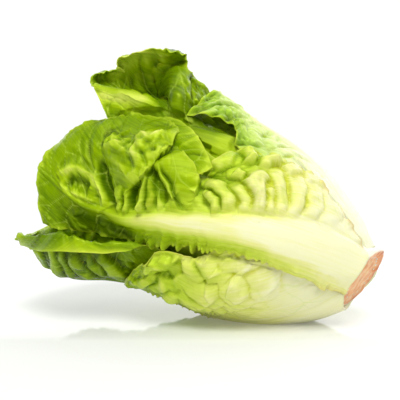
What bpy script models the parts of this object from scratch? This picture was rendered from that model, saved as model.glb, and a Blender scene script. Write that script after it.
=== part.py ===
"""Romaine lettuce head of the small, compact kind, lying on its side on a table.

The head is described upright, as it grows: the cut stem at the bottom, its axis up. Every leaf
is a thin shell placed on or near one egg-shaped envelope, and the whole head is then laid down.
Blender 4.5, metres, +Z up. The origin is under the middle of the lying head, on the table.
"""

import math

import bmesh
import bpy
import numpy as np
from mathutils import Matrix, Vector

MM = 0.001

# The head as it grows, in millimetres. The envelope is its smooth outside without the free
# leaf tips: pairs of height above the cut stem and radius.
ENVELOPE = [
    (4, 15.5),
    (12, 23),
    (22, 29.5),
    (36, 37),
    (54, 42),
    (75, 43.5),
    (96, 42),
    (115, 37.5),
    (132, 30),
    (146, 20),
    (155, 10),
    (160, 0),
]
HEART_HEIGHT = 56  # the point on the axis that the nested heart leaves shrink towards
HEART_TALLNESS = 0.5  # above that point they shrink by this share only, so they stay tall

# How the head lies: its axis rises towards the leaf tips and is turned away from the front.
AXIS_RISE = math.radians(19)
AXIS_TURN = math.radians(21)
STEM_AT = Vector((76.3, -26.03, 21.6))  # centre of the cut, in millimetres

# The stem: a short cone that carries the leaves. The knife went through a little askew.
# Each pair is a radius and a height above the cut.
STEM_OUTLINE = [(13.6, 0), (14, 0.4), (13.8, 3), (13, 5), (1.2, 51)]
STEM_TOP = 52
STEM_SIDES = 28
CUT_SLOPE = 0.11  # fall of the cut towards the upper side
CUT_REACH = 5  # height at which the slope of the cut has died out

# Leaf tissue, in millimetres. The midrib is a raised band down the middle of the leaf that
# narrows to nothing at the tip; its half width is a share of the leaf's width.
BLADE_THICKNESS = 0.8
HEART_THICKNESS = 0.9
RIB_HALF_WIDTH = 0.2
RIB_FADE = 0.7
OUTER_STEPS = (12, 12)  # faces across and along an outer leaf
HEART_STEPS = (10, 8)

# Heart leaves: tightly wrapped, each one turned on by the golden angle. Their rows are height
# on the envelope, share of the full half width, and how far the edges drop below the midrib.
HEART_ROWS = [(6, 0.75, 0), (34, 0.95, 0), (70, 1, 0), (112, 0.9, 6), (138, 0.6, 16)]
HEART_COUNT = 12
HEART_FIRST = 0.78  # size of the outermost heart leaf, as a share of the envelope
HEART_LAST = 0.24
HEART_TURN = 40  # where the outermost heart leaf faces, in degrees
HEART_SPREAD = (66, 100)  # half width in degrees of the outermost and the innermost
GOLDEN_ANGLE = 137.5

ENVELOPE_SAMPLES = 600

# Colours are linear red, green and blue.
LEAF_GREEN = (0.16, 0.36, 0.012)
HEART_YELLOW = (0.62, 0.68, 0.16)
STEM_CREAM = (0.78, 0.72, 0.50)


# Outer leaves. Each row runs across the leaf, from one edge over the midrib to the other edge,
# and the rows go from base to tip. A point is (height on the envelope, angle round the axis,
# distance outside the envelope): millimetres, degrees and millimetres. Angle 0 faces the front
# and 90 faces up once the head is laid down.
FRONT_LEAF = [
    [(5, -20, -0.2), (4, 0, 0), (4, 22, 0.4), (4, 42, 0.2), (5, 60, 0)],
    [(20, -6, 0), (20, 6, 1), (20, 19, 1.5), (20, 43, 0.5), (20, 66, 0)],
    [(42, 1, 0.2), (42, 8, 1), (44, 15, 2), (44, 42, 0.6), (42, 66, 0)],
    [(64, -8, 0), (64, 0, 0.8), (66, 8, 1.6), (68, 34, 0.8), (68, 60, 0)],
    [(84, -16, 0), (86, -6, 0.5), (86, 2, 1.4), (88, 30, 1.2), (90, 62, 0)],
    [(102, -30, 0), (106, -18, 0.6), (108, -10, 1.6), (108, 26, 1.8), (107, 66, 0.6)],
    [(117, -38, 6), (122, -26, 5.5), (125, -10, 4.5), (126, 26, 3.5), (120, 64, 2.6)],
    [(130, -36, 18), (137, -18, 15.5), (141, 2, 12), (140, 30, 8.5), (132, 52, 5.5)],
]
FOLDED_LEAF = [
    [(8, 20, -2.4), (8, 32, -2.4), (8, 44, -2.4), (8, 54, -2.4), (9, 62, -2.4)],
    [(35, 14, -2.4), (35, 28, -2.4), (35, 42, -2.4), (35, 52, -2.4), (35, 60, -2.4)],
    [(62, 8, -2.4), (62, 22, -2.4), (62, 36, -2.4), (64, 44, -2.3), (66, 50, -2.2)],
    [(82, 0, -2.4), (82, 16, -2.4), (82, 30, -2.4), (80, 40, -2.2), (76, 44, -1.6)],
    [(102, -4, -2.8), (104, 20, -2.4), (104, 44, -2.2), (97, 54, -1.8), (88, 57, -1.4)],
    [(118, 10, -3), (122, 24, -2.8), (122, 42, -2.4), (116, 54, -2), (106, 63, -1.6)],
]
TOP_LEAF = [
    [(5, 64, 0), (5, 84, 0.2), (4, 108, 0.4), (5, 130, 0), (6, 148, -0.2)],
    [(21, 70, 0), (21, 88, 0.2), (20, 108, 0.4), (21, 130, 0), (22, 150, 0)],
    [(42, 71, 0.6), (44, 88, 0.6), (44, 108, 0.6), (44, 130, 0.2), (42, 152, 0)],
    [(62, 66, 1.2), (62, 86, 1.2), (64, 108, 1), (62, 132, 0.6), (60, 152, 0)],
    [(77, 72, 3), (77, 88, 4.4), (78, 106, 3.6), (77, 130, 2), (72, 150, 1)],
    [(88, 72, 2.8), (89, 84, 7.5), (90, 98, 9), (88, 116, 7), (82, 138, 4)],
]
UPPER_LEAF = [
    [(7, 50, -5), (6, 64, -5), (6, 78, -4), (6, 96, -3.4), (7, 112, -3.6)],
    [(22, 42, -5), (22, 62, -5), (22, 78, -4.4), (22, 100, -3.4), (22, 120, -3.4)],
    [(46, 36, -5), (48, 58, -5), (48, 75, -4.4), (46, 100, -3.4), (44, 120, -3.4)],
    [(70, 34, -4.8), (72, 56, -4.8), (74, 72, -4), (74, 96, -2.8), (70, 118, -2.8)],
    [(90, 34, -4.8), (92, 56, -4.8), (94, 74, -1.2), (94, 90, 3), (92, 106, 5)],
    [(108, 50, -4.8), (111, 66, -3.6), (115, 76, 8), (118, 88, 6), (110, 95, 25)],
    [(119, 50, -4.6), (122, 66, 0), (123, 74, 12), (125, 86, 8), (121, 91, 23.5)],
    [(130, 48, -1), (133, 57, 7), (135, 66, 20), (135, 75, 20.5), (130, 84, 19)],
]
LOWER_LEAF = [
    [(6, -14, -2.4), (5, -44, 0), (4, -78, 0.4), (5, -106, 0), (6, -128, -0.2)],
    [(22, -4, -2.4), (21, -40, 0), (20, -80, 0.8), (21, -114, 0), (22, -138, 0)],
    [(42, -5, -0.6), (42, -40, 0.8), (40, -80, 1), (41, -116, 0.2), (42, -142, 0)],
    [(62, -13, 1.6), (60, -44, 1.8), (60, -82, 1.2), (60, -114, 0.4), (62, -140, 0)],
    [(80, -21, 2.2), (80, -46, 2.8), (80, -84, 2.2), (78, -114, 1), (78, -136, 0)],
    [(92, -42, 4.6), (97, -60, 6.4), (100, -84, 6.6), (97, -104, 5), (90, -126, 2)],
]
LOW_TIP_LEAF = [
    [(9, -46, -2.8), (8, -66, -2.8), (8, -86, -2.8), (8, -102, -2.8), (9, -116, -2.8)],
    [(34, -38, -2.8), (34, -64, -3.4), (34, -88, -4), (34, -110, -3.4), (34, -130, -2.8)],
    [(64, -40, -2.8), (64, -66, -2.6), (64, -92, -2.6), (64, -112, -2.6), (62, -130, -2.6)],
    [(88, -40, -3), (88, -62, -2.8), (90, -86, -2.2), (90, -112, -2.2), (86, -134, -2.6)],
    [(104, -29, 5), (107, -52, 6.8), (109, -77, 8.2), (108, -114, 6.6), (104, -144, 1.5)],
    [(114, -31, 13), (120, -50, 20), (124, -72, 22), (124, -110, 17), (118, -150, 6)],
    [(125, -30, 22), (137, -47, 30), (143, -58, 17), (146, -88, 13), (136, -142, 8)],
]
BACK_LEAF = [
    [(6, 138, -3), (5, 160, -0.8), (4, 180, 0.4), (5, 198, -0.4), (6, 218, -2.6)],
    [(22, 134, -3.2), (21, 158, -1.2), (20, 182, 1), (21, 202, -0.4), (22, 226, -2.6)],
    [(46, 132, -3.2), (46, 160, -1), (46, 184, 1.2), (46, 203, -0.4), (46, 226, -2.6)],
    [(72, 130, -3), (74, 160, -0.6), (76, 186, 1.6), (74, 205, -0.2), (70, 226, -2.6)],
    [(96, 130, -1.6), (100, 156, 1), (104, 186, 2.4), (100, 205, 0.6), (92, 216, -2.4)],
    [(114, 138, 0), (122, 160, 4), (128, 182, 4.5), (122, 196, 1), (112, 204, -2)],
    [(126, 148, 5), (138, 164, 9), (146, 180, 10), (140, 190, 6), (128, 196, 1)],
]
# Leaves of the second rank, under the seams of the first.
SHOULDER_LEAF = [
    [(9, 88, -5.6), (9, 102, -5.4), (9, 118, -5.2), (9, 136, -5.2), (9, 150, -5.2)],
    [(34, 72, -7), (34, 96, -6), (34, 120, -5.4), (34, 146, -5.2), (34, 168, -5.2)],
    [(64, 66, -7.4), (64, 92, -6.6), (64, 118, -5.4), (64, 146, -5.2), (64, 172, -5.1)],
    [(96, 64, -7.4), (98, 90, -6.4), (100, 118, -4.6), (98, 146, -4.8), (94, 170, -5.2)],
    [(120, 80, -7.4), (128, 100, -5), (132, 120, -3), (128, 142, -4.4), (118, 162, -5)],
    [(134, 94, -7), (144, 108, -3.6), (150, 120, -2), (144, 136, -3.6), (132, 150, -5)],
]
CHEEK_LEAF = [
    [(9, -52, -5), (9, -34, -5), (9, -12, -5), (9, 8, -5), (9, 22, -5)],
    [(34, -62, -5.2), (34, -38, -5.2), (34, -12, -5.2), (34, 14, -5.2), (34, 34, -5.2)],
    [(64, -64, -5.2), (64, -38, -5.2), (64, -12, -5.2), (64, 14, -7), (64, 40, -7.4)],
    [(94, -58, -5.2), (98, -34, -5.2), (100, -10, -5.4), (98, 16, -7), (94, 40, -7.8)],
    [(116, -44, -5.8), (124, -28, -5.6), (128, -10, -5.6), (124, 10, -7), (116, 28, -8)],
    [(130, -32, -7), (138, -20, -7), (142, -8, -7), (138, 6, -8), (130, 20, -9)],
]
HIP_LEAF = [
    [(9, 158, -5), (9, 178, -5), (9, 200, -5), (9, 222, -5), (9, 238, -5)],
    [(34, 174, -5.1), (34, 198, -5.1), (34, 224, -5.1), (34, 250, -5.3), (34, 276, -5.5)],
    [(64, 178, -5.1), (64, 202, -5.1), (64, 228, -5.1), (64, 256, -5.3), (64, 282, -5.5)],
    [(94, 176, -4.9), (98, 200, -4.6), (100, 226, -4.6), (98, 252, -4.8), (94, 276, -5.2)],
    [(116, 184, -4.8), (124, 204, -3.4), (128, 226, -3), (124, 248, -4), (116, 266, -5)],
    [(128, 196, -5), (138, 210, -3), (142, 226, -2.6), (138, 242, -3.4), (128, 256, -5)],
]

# name: (rows, midrib height above the blade in millimetres, flesh of the midrib)
OUTER_LEAVES = {
    "front_outer_leaf": (FRONT_LEAF, 3.2, 2.4),
    "folded_inner_leaf": (FOLDED_LEAF, 0, 0.8),
    "top_outer_leaf": (TOP_LEAF, 0.6, 1.2),
    "upper_outer_leaf": (UPPER_LEAF, 2.2, 2.2),
    "lower_outer_leaf": (LOWER_LEAF, 1.2, 2.2),
    "low_tip_leaf": (LOW_TIP_LEAF, 0, 0.9),
    "back_outer_leaf": (BACK_LEAF, 3, 2.4),
    "shoulder_leaf": (SHOULDER_LEAF, 0, 0.9),
    "cheek_leaf": (CHEEK_LEAF, 0, 0.9),
    "hip_leaf": (HIP_LEAF, 0, 0.9),
}


def clear_scene():
    for obj in list(bpy.data.objects):
        bpy.data.objects.remove(obj)


def smooth_through(points, place):
    """Catmull-Rom curve through points, read at place, which counts points from 0."""
    points = np.asarray(points, float)
    last = len(points) - 1
    ends = [2 * points[0] - points[1]], [2 * points[-1] - points[-2]]
    padded = np.concatenate([ends[0], points, ends[1]])
    i = min(int(place), last - 1)
    f = place - i
    a, b, c, d = padded[i : i + 4]
    return 0.5 * (
        2 * b + (c - a) * f + (2 * a - 5 * b + 4 * c - d) * f**2 + (3 * b - a - 3 * c + d) * f**3
    )


def envelope_table():
    """The envelope as fine rows of height, radius and outward normal, sorted by height."""
    places = np.linspace(0, len(ENVELOPE) - 1, ENVELOPE_SAMPLES)
    profile = np.array([smooth_through(ENVELOPE, place) for place in places])
    along = np.gradient(profile, axis=0)
    along /= np.linalg.norm(along, axis=1)[:, None]
    return np.column_stack([profile, -along[:, 1], along[:, 0]])


TABLE = envelope_table()


def head_point(height, angle, lift, size=1.0):
    """A point near the envelope, in the upright head. Size under 1 shrinks towards the heart."""
    radius, up, out = (np.interp(height, TABLE[:, 0], TABLE[:, k]) for k in (1, 2, 3))
    tall = 1 - HEART_TALLNESS * (1 - size) if height > HEART_HEIGHT else size
    rise = HEART_HEIGHT + tall * (height - HEART_HEIGHT) + lift * up
    away = size * radius + lift * out
    turn = math.radians(angle)
    return Vector((away * math.cos(turn), away * math.sin(turn), rise))


def laid_down():
    """The matrix that lays the upright head on its side. Head X, Y and Z are front, up, axis."""
    rise, turn = AXIS_RISE, AXIS_TURN
    axis = Vector(
        (-math.cos(rise) * math.cos(turn), math.cos(rise) * math.sin(turn), math.sin(rise))
    )
    front = Vector((-math.sin(turn), -math.cos(turn), 0))
    up = front.cross(axis) * -1
    lie = Matrix((front, up, axis)).transposed().to_4x4()
    return Matrix.Scale(MM, 4) @ Matrix.Translation(STEM_AT) @ lie


LIE = laid_down()


def on_table(point):
    """The point in the lying head, in metres, pressed flat where it would sink in the table."""
    placed = LIE @ point
    placed.z = max(placed.z, 0.0)
    return placed


def material(name, colour, roughness):
    made = bpy.data.materials.new(name)
    made.use_nodes = True
    shader = made.node_tree.nodes["Principled BSDF"]
    shader.inputs["Base Color"].default_value = (*colour, 1)
    shader.inputs["Roughness"].default_value = roughness
    shader.inputs["Metallic"].default_value = 0
    return made


def add_object(name, bm, finish, collection):
    mesh = bpy.data.meshes.new(name)
    bm.to_mesh(mesh)
    bm.free()
    mesh.materials.append(finish)
    mesh.shade_smooth()
    obj = bpy.data.objects.new(name, mesh)
    collection.objects.link(obj)
    return obj


def across_and_along(rows, across, along):
    """The leaf's (height, angle, lift) at a share of its width and of its length."""
    line = [smooth_through(row, across * (len(row) - 1)) for row in rows]
    return smooth_through(line, along * (len(rows) - 1))


def rib_share(across, along):
    """1 on the midrib at the base, falling to 0 beside it and at the tip."""
    beside = abs(across - 0.5) / RIB_HALF_WIDTH
    return max(0.0, 1 - beside) ** 2 * (1 - along) ** RIB_FADE


def faces_inwards(bm):
    """True if most of a sheet's faces look towards the head's axis."""
    middle = LIE @ Vector((0, 0, HEART_HEIGHT))
    return sum((f.calc_center_median() - middle).dot(f.normal) for f in bm.faces) < 0


def add_leaf(name, rows, steps, finish, collection, rib=0.0, flesh=HEART_THICKNESS, size=1.0):
    """A leaf as an open sheet bent from a flat grid, thickened inwards, thickest at the midrib."""
    bm = bmesh.new()
    bmesh.ops.create_grid(bm, x_segments=steps[0], y_segments=steps[1], size=1)
    weights = []
    for vert in bm.verts:
        across, along = (vert.co.x + 1) / 2, (vert.co.y + 1) / 2
        height, angle, lift = across_and_along(rows, across, along)
        weights.append(rib_share(across, along))
        vert.co = on_table(head_point(height, angle, lift + rib * weights[-1], size))
    bmesh.ops.recalc_face_normals(bm, faces=bm.faces)
    if faces_inwards(bm):
        bmesh.ops.reverse_faces(bm, faces=bm.faces)
    obj = add_object(name, bm, finish, collection)
    group = obj.vertex_groups.new(name="flesh")
    for index, weight in enumerate(weights):
        group.add([index], weight, "REPLACE")
    shell = obj.modifiers.new("flesh", "SOLIDIFY")
    shell.thickness = flesh * MM
    shell.offset = -1
    shell.vertex_group = group.name
    shell.thickness_vertex_group = min(1.0, BLADE_THICKNESS / flesh)
    return obj


def heart_rows(number):
    """Rows of one heart leaf: broad at the base, wrapped round the heart and over its top."""
    middle = HEART_TURN + GOLDEN_ANGLE * number
    width = np.interp(number, (0, HEART_COUNT - 1), HEART_SPREAD)
    return [
        [
            (height - drop * side**2, middle + width * spread * side, 0)
            for side in np.linspace(-1, 1, 5)
        ]
        for height, spread, drop in HEART_ROWS
    ]


def add_stem(finish, collection):
    """The stem: rings of points up the cone, closed by the slanting cut and by the top."""
    bm = bmesh.new()
    rings = []
    for radius, height in STEM_OUTLINE:
        slope = CUT_SLOPE * max(0.0, 1 - height / CUT_REACH)
        ring = []
        for side in range(STEM_SIDES):
            turn = math.tau * side / STEM_SIDES
            front, up = radius * math.cos(turn), radius * math.sin(turn)
            ring.append(bm.verts.new(LIE @ Vector((front, up, height - slope * up))))
        rings.append(ring)
    ends = [bm.verts.new(LIE @ Vector((0, 0, height))) for height in (0, STEM_TOP)]
    for side in range(STEM_SIDES):
        following = (side + 1) % STEM_SIDES
        for low, high in zip(rings, rings[1:]):
            bm.faces.new((low[side], low[following], high[following], high[side]))
        bm.faces.new((rings[0][following], rings[0][side], ends[0]))
        bm.faces.new((rings[-1][side], rings[-1][following], ends[1]))
    return add_object("stem", bm, finish, collection)


def build():
    clear_scene()
    head = bpy.data.collections.new("romaine lettuce head")
    bpy.context.scene.collection.children.link(head)
    green = material("outer leaf", LEAF_GREEN, 0.38)
    yellow = material("heart leaf", HEART_YELLOW, 0.42)
    cream = material("stem", STEM_CREAM, 0.5)
    add_stem(cream, head)
    for name, (rows, rib, flesh) in OUTER_LEAVES.items():
        add_leaf(name, rows, OUTER_STEPS, green, head, rib, flesh)
    for number in range(HEART_COUNT):
        size = np.interp(number, (0, HEART_COUNT - 1), (HEART_FIRST, HEART_LAST))
        name = f"heart_leaf_{number + 1:02d}"
        add_leaf(name, heart_rows(number), HEART_STEPS, yellow, head, size=size)


build()
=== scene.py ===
"""Romaine lettuce head, lying on its side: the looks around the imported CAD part.

The head is described upright, as it grows, in millimetres: the cut stem at the bottom, its axis
up. Angle 0 faces the front and 90 faces up once the head is laid down. Each leaf is a sheet bent
from rows of points near one egg-shaped envelope; its midrib, folds, blisters and ruffles are then
raised from it in millimetres along the midrib and across it.
"""

import math

import bpy
import numpy as np
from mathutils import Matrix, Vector


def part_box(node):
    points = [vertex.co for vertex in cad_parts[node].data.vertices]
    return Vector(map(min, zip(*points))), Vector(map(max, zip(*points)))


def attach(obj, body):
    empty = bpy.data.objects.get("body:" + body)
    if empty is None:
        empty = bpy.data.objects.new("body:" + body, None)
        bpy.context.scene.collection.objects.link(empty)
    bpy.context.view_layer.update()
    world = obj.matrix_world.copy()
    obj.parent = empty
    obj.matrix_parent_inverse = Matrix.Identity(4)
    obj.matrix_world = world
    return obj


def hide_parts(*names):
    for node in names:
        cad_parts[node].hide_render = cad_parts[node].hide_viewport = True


bl_info = {
    "name": "Romaine lettuce head",
    "version": (1, 0, 0),
    "blender": (4, 5, 0),
    "location": "View3D > Sidebar > Lettuce",
    "description": "Builds a lying romaine lettuce head, leaf by leaf",
    "category": "Object",
}

MM = 0.001
BODY = "root"

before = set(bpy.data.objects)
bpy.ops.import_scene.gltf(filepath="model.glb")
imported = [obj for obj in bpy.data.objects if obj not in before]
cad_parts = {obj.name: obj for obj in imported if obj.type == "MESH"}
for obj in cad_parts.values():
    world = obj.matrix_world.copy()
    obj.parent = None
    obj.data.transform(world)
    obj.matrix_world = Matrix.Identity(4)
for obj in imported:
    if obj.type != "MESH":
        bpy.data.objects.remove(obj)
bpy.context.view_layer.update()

# The smooth outside of the upright head: pairs of height above the cut stem and radius.
ENVELOPE = [
    (0, 13.2), (4, 16), (12, 23), (22, 29.5), (36, 37), (54, 42), (75, 43.5),
    (96, 42), (115, 37.5), (132, 30), (146, 20), (155, 10), (160, 0),
]
ENVELOPE_SAMPLES = 600
HEART_HEIGHT = 56  # the point on the axis that the nested heart leaves shrink towards
HEART_TALLNESS = 0.5  # above that point they shrink by this share only
AXIS_RISE = math.radians(19)
AXIS_TURN = math.radians(21)
STEM_AT = np.array((76.3, -26.03, 21.6))  # centre of the cut, lying down, in millimetres

# Outer leaves. A row runs across the leaf, from one edge over the midrib to the other, and the
# rows go from base to tip. A point is height on the envelope, angle round the axis and distance
# outside the envelope: millimetres, degrees and millimetres.
FRONT_LEAF = [
    [(3, -22, 0), (1.8, 0, 0.4), (0.6, 22, 0.6), (0, 46, 0.6), (0, 70, 0.4)],
    [(20, -6, 0), (20, 6, 1), (20, 19, 1.5), (20, 46, 1), (20, 78, 0.8)],
    [(42, 0, 0), (42, 8, 1), (44, 15, 2), (44, 46, 1.2), (42, 80, 0.9)],
    [(59, -5, 0), (60, 3, 0.8), (61, 10, 1.7), (62, 38, 1), (59, 68, 0.8)],
    [(67, -8, 0), (68, 1, 0.8), (70, 7, 1.5), (70, 32, 0.4), (69, 58, 0.6)],
    [(75, -11, 0), (76, -2, 0.7), (77, 4, 1.4), (76, 19, 0.2), (75, 34, -0.8)],
    [(82, -14, 0), (84, -5, 0.6), (85, 2, 1.4), (84, 21, 0.8), (83, 39, 0)],
    [(90, -19, 0), (92, -9, 0.5), (93, -2, 1.4), (92, 24, 1.8), (91, 50, 1)],
    [(99, -22, 0), (102, -14, 0.5), (103, -8, 1.6), (101, 28, 2.6), (99, 60, 1.4)],
    [(108, -27, 1.5), (112, -19, 2.4), (114, -11, 2.6), (114, 26, 2.6), (109, 66, 1.4)],
    [(118, -31, 6), (123, -22, 5.6), (125, -11, 4.8), (126, 26, 3.6), (121, 64, 2.8)],
    [(131, -32, 18.6), (138, -17, 16.8), (143, 2, 13.8), (142, 30, 9.6), (133, 52, 6)],
]
FOLDED_LEAF = [
    [(8, 20, -2.6), (8, 32, -2.6), (8, 44, -2.6), (8, 54, -2.6), (9, 62, -2.6)],
    [(35, 14, -2.6), (35, 28, -2.6), (35, 42, -2.6), (35, 52, -2.6), (35, 60, -2.6)],
    [(62, 8, -3), (62, 22, -3), (62, 36, -3), (64, 44, -3), (66, 50, -3)],
    [(84, 2, -3.4), (86, 16, -3.4), (88, 30, -3.4), (89, 44, -3.4), (88, 56, -3.2)],
    [(102, 0, -3.4), (106, 16, -3.2), (110, 32, -3), (111, 48, -2.8), (110, 60, -2.6)],
    [(108, 4, -2), (113, 18, -1.8), (117, 34, -1.6), (118, 50, -1.4), (116, 64, -1.2)],
    [(104, 12, -0.8), (108, 24, -0.4), (111, 38, 0), (113, 52, 0.4), (112, 68, 0.8)],
    [(94, 20, -1), (98, 30, -0.6), (100, 42, 0.6), (101, 54, 1.8), (100, 66, 2.4)],
    [(86, 23, -1), (88, 32, -0.4), (90, 41, 1), (90, 49, 2.4), (89, 58, 3)],
    [(81, 26, 0.2), (82, 32, 1), (82, 38, 2.2), (81, 44, 3.2), (80, 49, 3.4)],
    [(79, 30, 1.8), (78, 33, 2.8), (76, 35, 3.4), (74, 38, 3.6), (73, 41, 3.4)],
]
TOP_LEAF = [
    [(1.5, 60, -0.6), (1, 82, 0.2), (1, 108, 0.4), (2, 130, 0), (4, 148, -0.2)],
    [(20, 66, -1), (21, 86, 0), (20, 108, 0.4), (21, 130, 0), (22, 150, 0)],
    [(40, 69, -1), (43, 88, 0.6), (44, 108, 0.6), (44, 130, 0.2), (42, 152, 0)],
    [(56, 64, 0.2), (58, 82, 1.6), (60, 104, 1.4), (60, 130, 0.6), (58, 152, 0)],
    [(69, 63, 1.4), (70, 80, 3), (71, 102, 2.6), (70, 130, 1.4), (66, 151, 0.6)],
    [(75, 75, 4.4), (77, 88, 5), (79, 103, 4.6), (77, 128, 3), (72, 149, 1)],
    [(83, 75, 5), (85, 88, 7.6), (87, 101, 7.6), (84, 122, 5.6), (78, 143, 3)],
    [(97, 68, 5.6), (95, 78, 9), (94, 92, 11), (91, 112, 9), (85, 134, 5)],
]
UPPER_LEAF = [
    [(7, 50, -5), (6, 57, -5), (6, 64, -5), (6, 71, -4.6), (6, 78, -4.2), (6, 87, -3.8),
     (6, 96, -3.4), (6, 104, -3.5), (7, 112, -3.6)],
    [(22, 42, -5), (22, 52, -5), (22, 62, -5), (22, 70, -4.7), (22, 78, -4.4), (22, 89, -4),
     (22, 100, -3.4), (22, 110, -3.4), (22, 120, -3.4)],
    [(46, 36, -5), (47, 47, -5), (48, 58, -5), (48, 66, -4.7), (48, 75, -4), (47, 88, -3.8),
     (46, 100, -3.4), (45, 110, -3.4), (44, 120, -3.4)],
    [(70, 34, -4.8), (71, 44, -4.8), (73, 54, -4.4), (74, 63, -3), (74, 71, -0.8), (75, 84, -2.4),
     (74, 96, -2.8), (72, 108, -2.8), (70, 118, -2.8)],
    [(82, 34, -4.8), (84, 44, -4.6), (86, 53, -3.8), (87, 61, -2.2), (87, 69, 0.4), (88, 80, -0.4),
     (88, 92, -0.4), (87, 102, 0.2), (84, 108, 0.4)],
    [(92, 34, -4.8), (94, 45, -4.6), (96, 54, -3.4), (97, 62, -1.2), (97, 69, 1.6), (99, 76, 5),
     (100, 84, 8.4), (100.5, 91, 9.8), (98, 98, 10.8)],
    [(100, 38, -4.8), (103, 48, -4.6), (105, 57, -3), (106, 65, 0.5), (106, 72, 4), (106, 76, 9.4),
     (107, 83, 13.4), (106.5, 90, 16), (104, 92.5, 17.4)],
    [(106, 44, -4.8), (109, 53, -4.2), (111, 61, -1.5), (112, 69, 3), (113, 75, 6.6), (117, 89, 4),
     (118, 99, 10), (113, 97, 20), (108, 87, 26)],
    [(114, 48, -4.8), (118, 57, -3), (121, 65, 1.4), (121, 70, 6), (122, 75, 9.6), (126, 88, 5),
     (127, 98, 11), (123, 96, 20), (117, 86, 26)],
    [(120, 52, -3.8), (124, 60, -1), (127, 65, 6.4), (128, 70, 10), (129, 75, 11.6), (133, 86, 10),
     (133, 94, 14), (130, 92, 21), (130, 85, 22.8)],
    [(124, 52, -1.6), (128, 60, 1.5), (131, 65, 8.6), (132, 70, 12), (132, 74, 12.8), (136, 83, 12.6),
     (137, 90, 14.6), (135, 93, 17.4), (130, 91, 17.2)],
    [(127, 52, 0), (131, 60, 4), (134, 66, 10.6), (135, 70, 13.6), (135, 73, 14), (138, 79, 14.8),
     (139, 85, 16), (137, 89, 17.4), (133, 89, 18)],
    [(129, 53, 2), (133, 61, 7), (136, 67, 12.6), (137, 70, 15), (137, 72, 15.4), (139, 76, 16.4),
     (140, 79, 17), (139, 82, 18), (136, 83, 18.6)],
]
LOWER_LEAF = [
    [(3, -14, -1.6), (2.6, -44, 0.2), (3, -78, 0.6), (3, -106, 0.2), (2, -130, -0.8)],
    [(22, 2, -2.8), (21, -40, 0), (20, -80, 0.8), (21, -114, -0.2), (22, -138, -1)],
    [(42, 5, -2), (42, -40, 0.8), (40, -80, 1), (41, -116, 0), (42, -142, -1.2)],
    [(52, 3, -1.6), (51, -41, 1.2), (50, -81, 0.9), (50, -115, 0), (52, -141, -1.2)],
    [(64, -11, 1.2), (61, -42, 1.8), (60, -82, 0.7), (60, -114, 0), (62, -140, -1.2)],
    [(81, -16, 3.6), (80, -44, 2.8), (80, -76, 0.6), (78, -110, 0.4), (78, -136, -0.6)],
    [(91, -34, 5.4), (97, -56, 6), (99, -78, 3.4), (97, -104, 3), (90, -126, 1)],
]
LOW_TIP_LEAF = [
    [(9, -40, -2.8), (9, -48, -2.8), (8, -66, -2.8), (8, -86, -2.8), (8, -102, -2.8),
     (8, -109, -2.8), (9, -116, -2.8)],
    [(34, -28, -3.4), (34, -40, -3.2), (34, -64, -3.4), (34, -88, -4), (34, -110, -3.4),
     (34, -120, -3.2), (34, -130, -2.8)],
    [(64, -24, -3.4), (64, -40, -2.8), (64, -66, -2.6), (64, -92, -2.6), (64, -112, -2.6),
     (63, -121, -2.6), (62, -130, -2.6)],
    [(84, -20, -2.4), (86, -30, -2.6), (88, -56, -2.8), (90, -86, -2.2), (90, -110, -2.2),
     (88, -122, -2.4), (86, -134, -2.6)],
    [(94, -22.5, 5.4), (96, -22, 3.4), (98, -46, 2.5), (99, -80, 2.5), (99, -104, 2),
     (97, -120, 1), (94, -138, -0.6)],
    [(102, -25.5, 11.6), (105, -24, 9.4), (108, -46, 9), (110, -77, 9), (109, -104, 7),
     (108, -124, 5), (105, -144, 2)],
    [(110, -28, 17.6), (114, -24.5, 15.6), (118, -44, 18), (122, -72, 20.5), (122, -100, 17),
     (120, -124, 12), (116, -148, 5.5)],
    [(118, -31, 24), (122, -26, 21), (129, -42, 24.5), (134, -60, 24), (136, -88, 18),
     (133, -114, 13), (126, -146, 6.5)],
    [(133, -46, 29), (134, -41, 28), (137, -52, 30), (139, -62, 24), (141, -84, 17.6),
     (140, -112, 12), (134, -142, 8)],
]
BACK_LEAF = [
    [(3, 138, -1.4), (1, 160, 0), (0, 180, 0.6), (1, 204, 0.2), (3, 230, -1)],
    [(22, 134, -3.2), (21, 158, -1.2), (20, 182, 1), (21, 208, -0.2), (22, 238, -2)],
    [(46, 132, -3.2), (46, 160, -1), (46, 184, 1.2), (46, 209, -0.2), (46, 238, -2)],
    [(72, 130, -3), (74, 160, -0.6), (76, 186, 1.6), (74, 208, -0.2), (70, 236, -2)],
    [(96, 130, -1.6), (100, 156, 1), (104, 186, 2.4), (100, 206, 0.6), (92, 222, -2.2)],
    [(114, 138, 0), (122, 160, 4), (128, 182, 4.5), (122, 196, 1), (112, 204, -2)],
    [(126, 148, 5), (138, 164, 9), (146, 180, 10), (140, 190, 6), (128, 196, 1)],
]
SHOULDER_LEAF = [
    [(9, 88, -5.6), (9, 102, -5.4), (9, 118, -5.2), (9, 136, -5.2), (9, 150, -5.2)],
    [(34, 72, -7), (34, 96, -6), (34, 120, -5.4), (34, 146, -5.2), (34, 168, -5.2)],
    [(64, 66, -7.4), (64, 92, -6.6), (64, 118, -5.4), (64, 146, -5.2), (64, 172, -5.1)],
    [(96, 64, -7.4), (98, 90, -6.4), (100, 118, -4.6), (98, 146, -4.8), (94, 170, -5.2)],
    [(120, 80, -7.4), (128, 100, -5), (132, 120, -3), (128, 142, -4.4), (118, 162, -5)],
    [(134, 94, -7), (144, 108, -3.6), (150, 120, -2), (144, 136, -3.6), (132, 150, -5)],
]
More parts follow.
